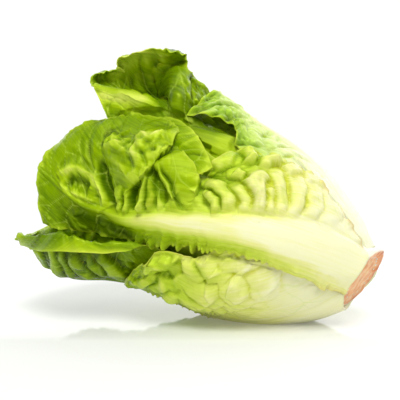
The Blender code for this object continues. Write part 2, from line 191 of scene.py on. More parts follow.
CHEEK_LEAF = [
    [(9, -52, -5), (9, -34, -5), (9, -12, -5), (9, 8, -5), (9, 22, -5)],
    [(34, -62, -5.2), (34, -38, -5.4), (34, -12, -6), (34, 14, -6), (34, 34, -5.6)],
    [(64, -64, -5.4), (64, -38, -6.4), (64, -12, -8), (64, 14, -8), (64, 40, -7.4)],
    [(94, -58, -5.4), (98, -34, -6.8), (100, -10, -8), (98, 16, -8), (94, 40, -7.8)],
    [(116, -44, -5.8), (124, -28, -5.8), (128, -10, -6), (124, 10, -7), (116, 28, -8)],
    [(130, -32, -7), (138, -20, -7), (142, -8, -7), (138, 6, -8), (130, 20, -9)],
]
HIP_LEAF = [
    [(9, 158, -5), (9, 178, -5), (9, 200, -5), (9, 222, -5), (9, 238, -5)],
    [(34, 174, -5.1), (34, 198, -5.1), (34, 224, -5.1), (34, 250, -5.3), (34, 276, -5.5)],
    [(64, 178, -5.1), (64, 202, -5.1), (64, 228, -5.1), (64, 256, -5.3), (64, 282, -5.5)],
    [(94, 176, -4.9), (98, 200, -4.6), (100, 226, -4.6), (98, 252, -4.8), (94, 276, -5.2)],
    [(116, 184, -4.8), (124, 204, -3.4), (128, 226, -3), (124, 248, -4), (116, 266, -5)],
    [(128, 196, -5), (138, 210, -3), (142, 226, -2.6), (138, 242, -3.4), (128, 256, -5)],
]

# Folds of a leaf, in millimetres: kind, height, then points of (along the midrib, across it,
# half width). A finger is a rounded pleat, a crease is a sharp trough, and a step lifts
# everything on the tip side of its line. Shade darkens the colour along its line: painted
# shade. The paling kind makes the tissue paler along its line, or greener where its height is
# negative: partly the leaf's own colour, partly painted highlight and painted light.
FRONT_FOLDS = [
    ("petal", 3.6, [(103, 34, 3), (99, 28, 6), (92, 22, 7.2), (87, 15, 5.6), (84, 9, 3)]),
    ("crease", 1.8, [(103, 27, 0.6), (95, 18, 0.6), (89, 11, 0.6), (84, 6, 0.6)]),
    ("tone_and_painted_light", -0.14, [(101, 30, 5), (94, 20, 5), (86, 10, 5)]),
    # painted shade along the petal's middle crease
    ("shade", 0.55, [(102, 28, 0.8), (95, 19, 0.9), (89, 12, 0.9), (84, 7, 0.8)]),
    ("finger", 3, [(61, 7, 2), (64, 14, 2.4), (70, 18, 2.6), (79, 21, 2)]),
    ("finger", 2.6, [(66, 6, 1.4), (69, 12, 1.6), (76, 16, 1.6)]),
    ("finger", 2.4, [(55, 7, 1.8), (56, 13, 2), (59, 17, 2.2), (65, 20, 1.8)]),
    ("finger", 4.4, [(50, 8, 2.4), (52, 16, 3), (56, 24, 3.8), (63, 29, 3.4)]),
    ("crease", 0.7, [(51, 10, 0.4), (53.5, 18, 0.4), (57, 26, 0.4)]),
    # painted shade between the fingers
    ("shade", 0.45, [(62, 19, 2), (67, 23, 2), (74, 25, 2)]),
    ("finger", 3.4, [(63, 26, 2), (69, 27, 2.4)]),
    ("finger", 3.4, [(80, 29, 3), (77, 33, 4.6), (72, 35, 3.4)]),
    ("finger", 3, [(66, 32, 2), (67, 37, 2.4), (72, 41, 2.2)]),
    ("finger", 2.6, [(46, 10, 1.8), (48, 17, 2.2), (52, 24, 2.2)]),
    ("finger", 2.4, [(42, 11, 2), (44, 18, 2.4), (48, 25, 2.4), (53, 33, 2.4)]),
    ("finger", 3, [(58, 33, 2.2), (60, 38, 2.6), (56, 43, 2)]),
    ("finger", 2.1, [(37, 13, 2.2), (38, 20, 2.8), (39, 27, 3), (44, 34, 2.4)]),
    ("finger", 2, [(46, 37, 2.2), (51, 42, 2.4)]),
    ("finger", 1.3, [(30, 14, 2.4), (29, 22, 3), (33, 31, 3)]),
    ("finger", 1.5, [(37, 36, 2.4), (41, 42, 2.4)]),
    ("finger", 0.8, [(20, 15, 3), (20, 24, 3.6), (24, 34, 3.4)]),
    ("finger", 2.4, [(98, 4, 1.4), (101, 13, 1.8), (106, 21, 2)]),
    ("finger", 1.6, [(93, 4, 1), (97, 13, 1.2), (102, 21, 1)]),
    ("finger", 3.4, [(102, 2, 1.2), (105, 12, 1.5), (107, 22, 2)]),
    ("finger", 2.2, [(110, 3, 1), (113, 12, 1.2)]),
    ("finger", 2.2, [(113, 3, 1), (118, 12, 1.3)]),
    ("crease", 3, [(92, 7, 1.4), (98, 15, 1.8), (104, 24, 2)]),
    ("crease", 4.6, [(106, 4, 1.6), (109, 10, 2.4), (110, 17, 2)]),
    ("step", 4.4, [(106, 52, 1), (104, 38, 1), (105, 27, 1), (107, 21, 1.2), (113, 12, 2)]),
    ("ridge", 2.4, [(131, 26, 3), (127, 30, 3), (120, 29, 3), (113, 28, 3), (108, 26, 2)]),
    ("ridge", 1.6, [(130, 30, 2), (131, 36, 2.4), (127, 41, 2.4), (119, 37, 2.4), (112, 31, 2)]),
    ("ridge", 2, [(121, 40, 2.6), (114, 38, 2.6), (112, 44, 2)]),
    ("ridge", 1.6, [(112, 33, 2), (106, 31, 2), (107, 36, 2)]),
    ("ridge", 1.6, [(122, 24, 2.4), (115, 18, 2.4), (110, 24, 2)]),
    ("crease", 3.6, [(133, 23, 1.8), (126, 15, 2.4), (121, 9, 2), (117, 5, 1.4)]),
    ("ridge", 2.2, [(150, -1, 1.6), (146, 6, 2.4), (141, 11, 2.6), (131, 14, 2.4), (126, 10, 2), (121, 3, 1.4)]),
    ("ridge", 1.4, [(150, -1, 1.4), (139, 1, 1.6), (131, 3, 1.6), (124, 4, 1.4)]),
    ("crease", 1.8, [(144, 5, 2), (138, 7, 3), (131, 8, 2.4)]),
    ("ridge", 1.4, [(141, 8, 1.4), (135, 7, 1.6), (129, 9, 1.4)]),
    ("crease", 1.2, [(118, 33, 1.4), (112, 30, 1.4), (108, 25, 1)]),
    # painted highlights: pale sheen along the crests of the dome
    ("tone_and_painted_light", 0.36, [(135, 31, 2.4), (127, 33, 4), (120, 33, 4), (114, 28, 2)]),
    ("tone_and_painted_light", 0.4, [(119, 40, 2.4), (115, 40, 3), (111, 42, 2)]),
    ("tone_and_painted_light", 0.32, [(150, -1, 1.4), (143, 8, 1.8), (133, 13, 2), (127, 10, 1.6), (122, 3, 1.4)]),
    ("tone_and_painted_light", 0.3, [(146, 0, 1.4), (136, 1, 1.6), (126, 4, 1.4)]),
    # painted shade in the dome's hollows, under its lower rim and between the fingers beside the petal
    ("shade", 0.5, [(127, 27, 2), (122, 26, 2.4), (117, 24, 2)]),
    ("crumple", 1.7, [(131, 31, 5), (122, 33, 7), (112, 33, 6), (106, 30, 4)]),
    ("crumple", 1.4, [(147, 3, 4), (137, 5, 5), (127, 6, 4)]),
    ("shade", 0.5, [(122, 16, 5), (116, 10, 4), (112, 8, 3)]),
    ("shade", 0.95, [(142, -11, 4), (132, -6, 4), (122, -6, 4.4), (113, -8, 4.4), (105, -10, 3)]),
    ("shade", 0.95, [(97, 5, 3), (100, 13, 4.4), (105, 22, 4)]),
    ("shade", 0.7, [(92, 5, 2.6), (85, 7, 3.4), (76, 8, 2.8)]),
    ("shade", 0.3, [(152, -14, 7), (136, -10, 5), (118, -9, 4), (100, -9, 3)]),
    ("shade", 0.4, [(140, 16, 4), (133, 18, 5), (126, 14, 4)]),
    ("calm", 0.7, [(152, -30, 8), (154, -12, 7), (154, 4, 5), (152, 20, 6), (142, 40, 5), (124, 52, 4)]),
]
TOP_FOLDS = [
    ("tone_and_painted_light", -0.22, [(104, -25, 7), (94, -26, 7), (84, -28, 7), (70, -28, 6)]),
    ("crumple", 1.1, [(100, -14, 8), (90, -18, 8), (80, -22, 7)]),
    ("ridge", 1, [(103, -9, 2), (96, -12, 2.4), (89, -21, 2)]),
    ("ridge", 0.9, [(91, -9, 2), (85, -17, 2), (78, -22, 2)]),
    # painted shade under the folds near the lower margin
    ("shade", 0.4, [(98, -22, 3), (90, -25, 3), (78, -28, 3)]),
]
LOWER_FOLDS = [
    ("calm", 0.85, [(104, -8, 10), (70, -8, 11), (40, -10, 16), (0, -8, 30)]),
    ("finger", 2.6, [(99, -42, 5), (90, -47, 7), (80, -50, 6.4), (75, -47, 5)]),
    ("finger", 1.5, [(72, -36, 4.4), (66, -31, 3.6), (62, -27, 3)]),
    ("finger", 1.8, [(76, -56, 2.6), (69, -52, 3.4), (66, -47, 3)]),
    ("finger", 1.6, [(66, -56, 2.6), (60, -52, 3.4), (58, -48, 2.6)]),
    ("finger", 1.9, [(68, -43, 4), (62, -38, 5.4), (57, -33, 4)]),
    ("finger", 1.5, [(56, -54, 3), (48, -50, 3.4), (42, -49, 3)]),
    ("finger", 1.7, [(52, -45, 4), (47, -39, 5.4), (44, -33, 4)]),
    ("finger", 1.3, [(41, -47, 3.6), (35, -41, 5), (32, -34, 4)]),
    ("step", 1.8, [(77, -57, 1), (72, -51, 1), (70, -45, 1), (75, -40, 1), (88, -38, 1.4)]),
    ("ridge", 0.9, [(100, -42, 2), (92, -46, 3), (82, -48, 3), (76, -46, 2)]),
    ("frill", 1.7, [(100, -18, 1.2), (87, -24, 1.1), (76, -22, 1), (64, -20, 1), (54, -22, 1), (44, -27, 1)]),
    # painted shade in the lap under the crumpled part, turned olive by the paling beside it, then painted light on
    # the lumps at the far left
    ("shade", 0.6, [(98, -14, 5), (87, -17, 6), (76, -15, 6), (64, -13, 6), (52, -14, 5), (42, -20, 4)]),
    ("tone_and_painted_light", 0.16, [(96, -12, 6), (86, -14, 7), (76, -12, 7), (64, -10, 7), (50, -8, 7)]),
    ("tone_and_painted_light", 0.14, [(102, -32, 5), (90, -38, 7), (80, -41, 7)]),
    ("beads", 1.5, [(98, -8, 1.5), (87, -11, 1.5), (78, -11, 1.5), (70, -10, 1.4), (63, -8, 1.3), (55, -6, 1)]),
    ("finger", 1.7, [(98, -24, 2.6), (92, -30, 3), (87, -34, 3)]),
    ("finger", 1.6, [(89, -26, 2.6), (84, -32, 3), (80, -37, 3)]),
    ("finger", 1.5, [(79, -25, 2.6), (75, -31, 3), (71, -35, 3)]),
    ("crumple", 1, [(98, -32, 7), (88, -38, 8), (78, -42, 7)]),
    ("step", 0.8, [(45, -51, 0.6), (51, -45, 0.6), (51, -38, 0.6), (44, -31, 0.8)]),
    ("step", 0.9, [(57, -54, 0.6), (61, -47, 0.6), (61, -40, 0.6), (55, -32, 0.8)]),
    ("tone_and_painted_light", 0.16, [(98, -50, 3), (86, -54, 3), (76, -54, 3), (71, -48, 3), (76, -41, 3)]),
    ("tone_and_painted_light", 0.12, [(66, -56, 2), (56, -53, 3), (46, -50, 3), (40, -46, 2)]),
]
UPPER_FOLDS = [
    # painted sheen along the folded band at the tip, and painted light on the inner face near the tip
    ("tone_and_painted_light", 0.62, [(149, -6, 5), (141, -6, 5), (134, -7, 5), (128, -4, 4), (121, -3, 3), (114, -4, 2)]),
    ("tone_and_painted_light", 0.5, [(140, 13, 5), (134, 28, 7), (126, 40, 8), (116, 41, 7)]),
    ("calm", 0.8, [(98, -4, 6), (86, -4, 8), (74, -5, 9)]),
    ("ridge", 1.4, [(136, -6, 2), (128, -3, 2), (121, -4, 2), (113, -5, 1.6)]),
    ("finger", 2.8, [(117, 30, 3), (109, 18, 5), (102, 8, 6), (99, 0, 5)]),
    ("crumple", 1.3, [(101, 22, 4), (95, 18, 7), (89, 12, 6)]),
    ("ridge", 1.2, [(112, 24, 3), (104, 20, 3), (99, 24, 3), (95, 28, 2)]),
    # painted shade in the cup and throat of the leaf and along its midrib band
    ("shade", 0.95, [(124, 20, 4), (119, 16, 6), (113, 13, 6), (110, 4, 4)]),
    ("shade", 0.8, [(98, 2, 6), (88, 1, 8), (76, 0, 8)]),
    ("shade", 0.65, [(107, 4, 4), (100, 6, 5), (92, 8, 4)]),
    ("tone_and_painted_light", 0.12, [(100, 18, 4), (94, 20, 5), (88, 21, 5)]),
]
FOLDED_FOLDS = [
    ("ridge", 0.9, [(146, 14, 1.2), (142, 6, 1.6), (144, -2, 1.6)]),
    ("crease", 0.8, [(152, 8, 0.8), (146, 2, 0.8), (142, -6, 0.8)]),
    ("ridge", 0.8, [(138, 12, 1.6), (134, 4, 2)]),
]
TIP_FOLDS = [
    ("calm", 0.95, [(98, -50, 4), (125, -51, 4), (152, -43, 5)]),
    ("tone_and_painted_light", 0.3, [(98, -51, 3), (125, -53, 4), (152, -45, 4)]),
    ("crumple", 0.8, [(112, -46, 1.6), (125, -46, 1.8), (140, -43, 1.6)]),
    ("finger", 1.6, [(152, -18, 2), (144, -12, 3), (138, -2, 3)]),
    ("finger", 1.9, [(144, -30, 2), (137, -22, 2.6), (128, -4, 3)]),
    ("finger", 1.2, [(136, -33, 1.6), (130, -24, 2), (122, -8, 2)]),
    ("finger", 2.1, [(128, -36, 2), (122, -26, 3.4), (114, -8, 3.6)]),
    ("finger", 1.3, [(118, -38, 1.4), (115, -28, 1.6), (106, -14, 2)]),
    ("finger", 2.2, [(113, -38, 2.4), (105, -28, 3.4), (98, -14, 3)]),
    # painted shade on the outside of the leaf, below its lip
    ("shade", 0.6, [(146, -28, 5), (130, -34, 5), (112, -36, 5), (98, -34, 5)]),
    ("shade", 0.35, [(140, -8, 8), (120, -12, 9), (100, -16, 8)]),
]

# Each outer leaf: rows and folds; faces across and along its outer side; midrib as rows of
# (along, crest across, half width below, half width above, height); paleness as rows of (along,
# at the midrib, at the margin); depth of its blisters along it; ruffle height, length and reach.
LEAVES = {
    "front_outer_leaf": dict(
        rows=FRONT_LEAF, folds=FRONT_FOLDS, steps=(240, 316), start=4.4, frill=1.4, crisp=98,
        curls=[(30, 68, 1.5, 4.2, 2), (64, 108, 2.4, 6.4, 3.6), (60, 108, 1.6, 3.1, 2)],
        rib=[
            (0, 1, 12, 12, 2.6), (26, 3, 14, 11, 3.6), (47, 3, 14, 6, 3.8), (66, 2, 10, 4.6, 3.4),
            (89, 0, 7.5, 4.2, 2.6), (107, 0, 6, 2, 1.8), (120, 1, 2, 1.4, 1.2),
            (139, -2, 1.2, 1.2, 0.8), (159, -4, 0.8, 0.8, 0.4),
        ],
        pale=[
            (0, 1, 1, 0.9), (30, 0.86, 0.9, 0.66), (50, 0.72, 0.88, 0.46), (65, 0.66, 0.46, 0.34),
            (85, 0.64, 0.28, 0.22), (100, 0.5, 0.18, 0.1), (112, 0.3, 0.12, 0.06),
            (159, 0.1, 0.1, 0.06),
        ],
        blister=[(0, 0), (24, 0.3), (40, 0.8), (95, 1), (105, 0.8), (135, 0.75), (159, 0.6)],
        ruffle=(1.5, 5, 4),
    ),
    "top_outer_leaf": dict(
        rows=TOP_LEAF, folds=TOP_FOLDS, steps=(200, 140), milky=True,
        rib=[(0, 0, 12, 12, 1), (60, 0, 5, 5, 1.4), (90, 0, 1.5, 1.5, 0.8)],
        pale=[(0, 1, 1, 1), (45, 0.95, 0.9, 0.9), (70, 0.7, 0.55, 0.36), (95, 0.36, 0.3, 0.1)],
        blister=[(0, 0), (40, 0.6), (60, 1.4), (95, 1.7)],
        ruffle=(2, 7, 6),
    ),
    "lower_outer_leaf": dict(
        rows=LOWER_LEAF, folds=LOWER_FOLDS, steps=(260, 160),
        rib=[(0, 0, 16, 16, 1.2), (50, 0, 9, 9, 2), (95, 0, 2, 2, 0.8)],
        pale=[
            (0, 1, 0.9, 1), (28, 0.96, 0.8, 0.95), (50, 0.84, 0.68, 0.7), (70, 0.64, 0.46, 0.56),
            (82, 0.44, 0.34, 0.34), (105, 0.28, 0.24, 0.2),
        ],
        blister=[(0, 0), (24, 0.2), (45, 0.8), (105, 1.1)],
        ruffle=(1, 6, 5), frill=2,
    ),
    "back_outer_leaf": dict(
        rows=BACK_LEAF, folds=[], steps=(150, 180),
        rib=[(0, 0, 12, 12, 2.6), (50, 0, 9, 9, 3.4), (100, 0, 4, 4, 2.4), (150, 0, 1, 1, 0.6)],
        pale=[(0, 1, 1), (40, 0.9, 0.8), (80, 0.66, 0.4), (110, 0.35, 0.15), (160, 0.1, 0.05)],
        blister=[(0, 0), (24, 0.6), (50, 2), (150, 1.6)],
        ruffle=(2, 7, 6),
    ),
    "folded_inner_leaf": dict(
        rows=FOLDED_LEAF, folds=FOLDED_FOLDS, steps=(110, 150), free=True,
        rib=[(0, 0, 6, 6, 0), (120, 0, 1, 1, 0)],
        pale=[(0, 1, 1), (50, 0.5, 0.5), (80, 0.16, 0.12), (130, 0.08, 0.1), (158, 0.14, 0.2)],
        blister=[(0, 0), (50, 0.4), (130, 0.5)],
        ruffle=(0.3, 8, 3),
    ),
    "upper_outer_leaf": dict(
        rows=UPPER_LEAF, folds=UPPER_FOLDS, steps=(220, 230),
        rib=[(0, 0, 12, 12, 1), (60, -4, 7, 7, 1.6), (100, -8, 5, 5, 2), (150, 0, 1, 1, 0.6)],
        pale=[(0, 1, 1), (50, 0.6, 0.5), (78, 0.2, 0.1), (100, 0.1, 0.0), (150, 0.06, 0.0)],
        blister=[(0, 0), (40, 0.8), (90, 1), (150, 1)],
        ruffle=(1.2, 9, 6),
    ),
    "low_tip_leaf": dict(
        rows=LOW_TIP_LEAF, folds=TIP_FOLDS, steps=(220, 210),
        rib=[(0, 0, 10, 10, 0.6), (90, 0, 5, 5, 1.4), (150, 0, 1, 1, 0.6)],
        pale=[(0, 1, 1), (50, 0.7, 0.6), (85, 0.3, 0.2), (100, 0.12, 0.08), (150, 0.04, 0.02)],
        blister=[(0, 0), (60, 0.6), (95, 1), (150, 1)],
        ruffle=(1.2, 10, 6),
    ),
    "shoulder_leaf": dict(
        rows=SHOULDER_LEAF, folds=[], steps=(110, 120),
        rib=[(0, 0, 8, 8, 0.3), (150, 0, 1, 1, 0.3)],
        pale=[(0, 1, 1), (60, 0.7, 0.6), (110, 0.3, 0.2), (150, 0.12, 0.08)],
        blister=[(0, 0), (50, 0.8), (150, 1.2)],
        ruffle=(1.4, 8, 5),
    ),
    "cheek_leaf": dict(
        rows=CHEEK_LEAF, folds=[], steps=(110, 120),
        rib=[(0, 0, 8, 8, 0.3), (150, 0, 1, 1, 0.3)],
        pale=[(0, 0.9, 0.8), (40, 0.4, 0.3), (80, 0.12, 0.06), (150, 0.06, 0.04)],
        blister=[(0, 0), (30, 1.4), (150, 2)],
        ruffle=(1, 8, 5),
    ),
    "hip_leaf": dict(
        rows=HIP_LEAF, folds=[], steps=(110, 120),
        rib=[(0, 0, 8, 8, 0.3), (150, 0, 1, 1, 0.3)],
        pale=[(0, 1, 1), (60, 0.7, 0.6), (110, 0.3, 0.2), (150, 0.12, 0.08)],
        blister=[(0, 0), (50, 0.8), (150, 1.2)],
        ruffle=(1.4, 8, 5),
    ),
}

# Heart leaves: rows are height on the envelope, share of the full half width, and how far the
# edges drop below the midrib.
HEART_ROWS = [(6, 0.75, 0), (34, 0.95, 0), (70, 1, 0), (112, 0.9, 6), (138, 0.6, 16)]
HEART_COUNT = 12
HEART_SIZES = (0.78, 0.24)
HEART_TURN = 40
HEART_SPREAD = (66, 100)
GOLDEN_ANGLE = 137.5
HEART_LEAF = dict(
    folds=[], steps=(70, 56),
    rib=[(0, 0, 8, 8, 0.4), (90, 0, 2, 2, 0.4)],
    pale=[(0, 1, 1), (50, 0.7, 0.7), (80, 0.5, 0.4), (110, 0.34, 0.26)],
    blister=[(0, 0), (40, 0.5), (110, 1)],
    ruffle=(1, 7, 5),
)


# ---------------------------------------------------------------- numbers


def through(points, places):
    """Catmull-Rom curve through rows of points, read at places, which count points from 0."""
    points = np.asarray(points, float)
    places = np.asarray(places, float)
    padded = np.concatenate(
        [[2 * points[0] - points[1]], points, [2 * points[-1] - points[-2]]]
    )
    start = np.clip(places.astype(int), 0, len(points) - 2)
    part = (places - start).reshape(places.shape + (1,) * (points.ndim - 1))
    return blend_four(*(padded[start + k] for k in range(4)), part)


def blend_four(a, b, c, d, f):
    return 0.5 * (
        2 * b + (c - a) * f + (2 * a - 5 * b + 4 * c - d) * f**2 + (3 * b - a - 3 * c + d) * f**3
    )


def smooth(value, low=0.0, high=1.0):
    """0 below low, 1 above high, and an even S between them."""
    share = np.clip((value - low) / (high - low), 0, 1)
    return share * share * (3 - 2 * share)


def hashed(i, j, seed):
    """A fixed number from 0 to 1 for each pair of whole numbers."""
    n = (i * 374761393 + j * 668265263 + seed * 1442695041) & 0xFFFFFFFF
    n = ((n ^ (n >> 13)) * 1274126177) & 0xFFFFFFFF
    return ((n ^ (n >> 16)) & 0xFFFFFF) / 0xFFFFFF


def waves(x, y, length, seed):
    """Smooth noise from -1 to 1 with bumps about length millimetres long."""
    x, y = x / length, y / length
    i, j = np.floor(x).astype(np.int64), np.floor(y).astype(np.int64)
    f, g = smooth(x - i), smooth(y - j)
    low = hashed(i, j, seed) * (1 - f) + hashed(i + 1, j, seed) * f
    high = hashed(i, j + 1, seed) * (1 - f) + hashed(i + 1, j + 1, seed) * f
    return 2 * (low * (1 - g) + high * g) - 1


def cells(x, y, seed):
    """Irregular cells about 1 across: 0 on their borders rising inwards, and each one's number."""
    i, j = np.floor(x).astype(np.int64), np.floor(y).astype(np.int64)
    nearest = np.full(x.shape, 9.0)
    second = np.full(x.shape, 9.0)
    number = np.zeros(x.shape)
    for di in (-1, 0, 1):
        for dj in (-1, 0, 1):
            a, b = i + di, j + dj
            away = np.hypot(
                a + 0.15 + 0.7 * hashed(a, b, seed) - x, b + 0.15 + 0.7 * hashed(a, b, seed + 1) - y
            )
            nearer = away < nearest
            second = np.where(nearer, nearest, np.minimum(second, away))
            number = np.where(nearer, hashed(a, b, seed + 2), number)
            nearest = np.where(nearer, away, nearest)
    return second - nearest, number


def to_line(points, s, w):
    """Distance from a line of (s, w, half width) points as a share of its half width, the place
    along it from 0 to 1, which side it is, positive on the tip side of a line that climbs in w,
    and the direction away from it in s and w."""
    best = np.full(s.shape, 99.0)
    place = np.zeros(s.shape)
    side = np.zeros(s.shape)
    outward = np.zeros((2, *s.shape))
    count = len(points) - 1
    for k, (a, b) in enumerate(zip(points, points[1:])):
        ds, dw = b[0] - a[0], b[1] - a[1]
        f = np.clip(((s - a[0]) * ds + (w - a[1]) * dw) / (ds * ds + dw * dw), 0, 1)
        away_s, away_w = s - a[0] - f * ds, w - a[1] - f * dw
        far = np.hypot(away_s, away_w) + 1e-9
        away = far / (a[2] + f * (b[2] - a[2]))
        nearer = away < best
        best = np.where(nearer, away, best)
        place = np.where(nearer, (k + f) / count, place)
        side = np.where(nearer, np.sign(away_w * ds - away_s * dw), side)
        outward = np.where(nearer, np.stack([away_s, away_w]) / far, outward)
    return best, place, side, outward


def blurred(field, steps):
    """A field averaged over this many grid steps to each side, twice."""
    for axis in (0, 1, 0, 1):
        edges = [(0, 0), (0, 0)]
        edges[axis] = (steps + 1, steps)
        total = np.cumsum(np.pad(field, edges, mode="edge"), axis=axis)
        width = 2 * steps + 1
        field = (
            total.take(range(width, total.shape[axis]), axis) - total.take(range(total.shape[axis] - width), axis)
        ) / width
    return field


# ---------------------------------------------------------------- the head


def envelope_table():
    """The envelope as fine columns of height, radius and outward normal."""
    profile = through(ENVELOPE, np.linspace(0, len(ENVELOPE) - 1, ENVELOPE_SAMPLES))
    along = np.gradient(profile, axis=0)
    along /= np.linalg.norm(along, axis=1)[:, None]
    return profile[:, 0], profile[:, 1], -along[:, 1], along[:, 0]


TABLE = envelope_table()
TOWARDS_TIP = np.array(
    (
        -math.cos(AXIS_RISE) * math.cos(AXIS_TURN),
        math.cos(AXIS_RISE) * math.sin(AXIS_TURN),
        math.sin(AXIS_RISE),
    )
)
FRONT = np.array((-math.sin(AXIS_TURN), -math.cos(AXIS_TURN), 0))
UP = -np.cross(FRONT, TOWARDS_TIP)


def laid(x, y, z):
    """Points of the upright head, in millimetres, in the lying head, still in millimetres."""
    return STEM_AT + x[..., None] * FRONT + y[..., None] * UP + z[..., None] * TOWARDS_TIP


def head_points(height, angle, lift, size=1.0):
    """Lying points near the envelope. Size under 1 shrinks them towards the heart."""
    radius, rise, out = (np.interp(height, TABLE[0], column) for column in TABLE[1:])
    tall = np.where(height > HEART_HEIGHT, 1 - HEART_TALLNESS * (1 - size), size)
    up = HEART_HEIGHT + tall * (height - HEART_HEIGHT) + lift * rise
    away = size * radius + lift * out
    turn = np.radians(angle)
    return laid(away * np.cos(turn), away * np.sin(turn), up)


def normals_of(points):
    """Unit normals of a grid of points, turned away from the head's axis."""
    across = np.gradient(points, axis=1)
    along = np.gradient(points, axis=0)
    normal = np.cross(across, along)
    normal /= np.linalg.norm(normal, axis=2)[..., None] + 1e-9
    middle = laid(np.array(0.0), np.array(0.0), np.array(float(HEART_HEIGHT)))
    facing = np.sum((points - middle) * normal, axis=2).mean()
    return (normal, False) if facing > 0 else (-normal, True)


# Where covering leaves lie: for each step of height and angle, the lowest that any leaf made so
# far comes. A leaf made later keeps its folds below that.
COVER_STEP = (2.0, 3.0)
COVER = np.full((100, 120), 99.0)
CLEAR = 0.5
OPEN = 16.0  # the lift that is free where nothing covers a leaf


def cover_cell(height, angle):
    return (
        np.clip((height / COVER_STEP[0]).astype(int), 0, COVER.shape[0] - 1),
        ((angle % 360) / COVER_STEP[1]).astype(int) % COVER.shape[1],
    )


def room_under(height, angle):
    """The lift that a leaf may reach there, kept clear of the cells around it too."""
    lowest = np.minimum(COVER, OPEN)
    for axis in (0, 1):
        lowest = np.minimum(
            lowest, np.minimum(np.roll(lowest, 1, axis), np.roll(lowest, -1, axis))
        )
    up = np.clip(height / COVER_STEP[0] - 0.5, 0, COVER.shape[0] - 1.001)
    round_it = (angle % 360) / COVER_STEP[1] - 0.5
    i, j = up.astype(int), np.floor(round_it).astype(int)
    f, g = up - i, round_it - j
    left, right = j % COVER.shape[1], (j + 1) % COVER.shape[1]
    low = lowest[i, left] * (1 - g) + lowest[i, right] * g
    high = lowest[i + 1, left] * (1 - g) + lowest[i + 1, right] * g
    return low * (1 - f) + high * f - CLEAR


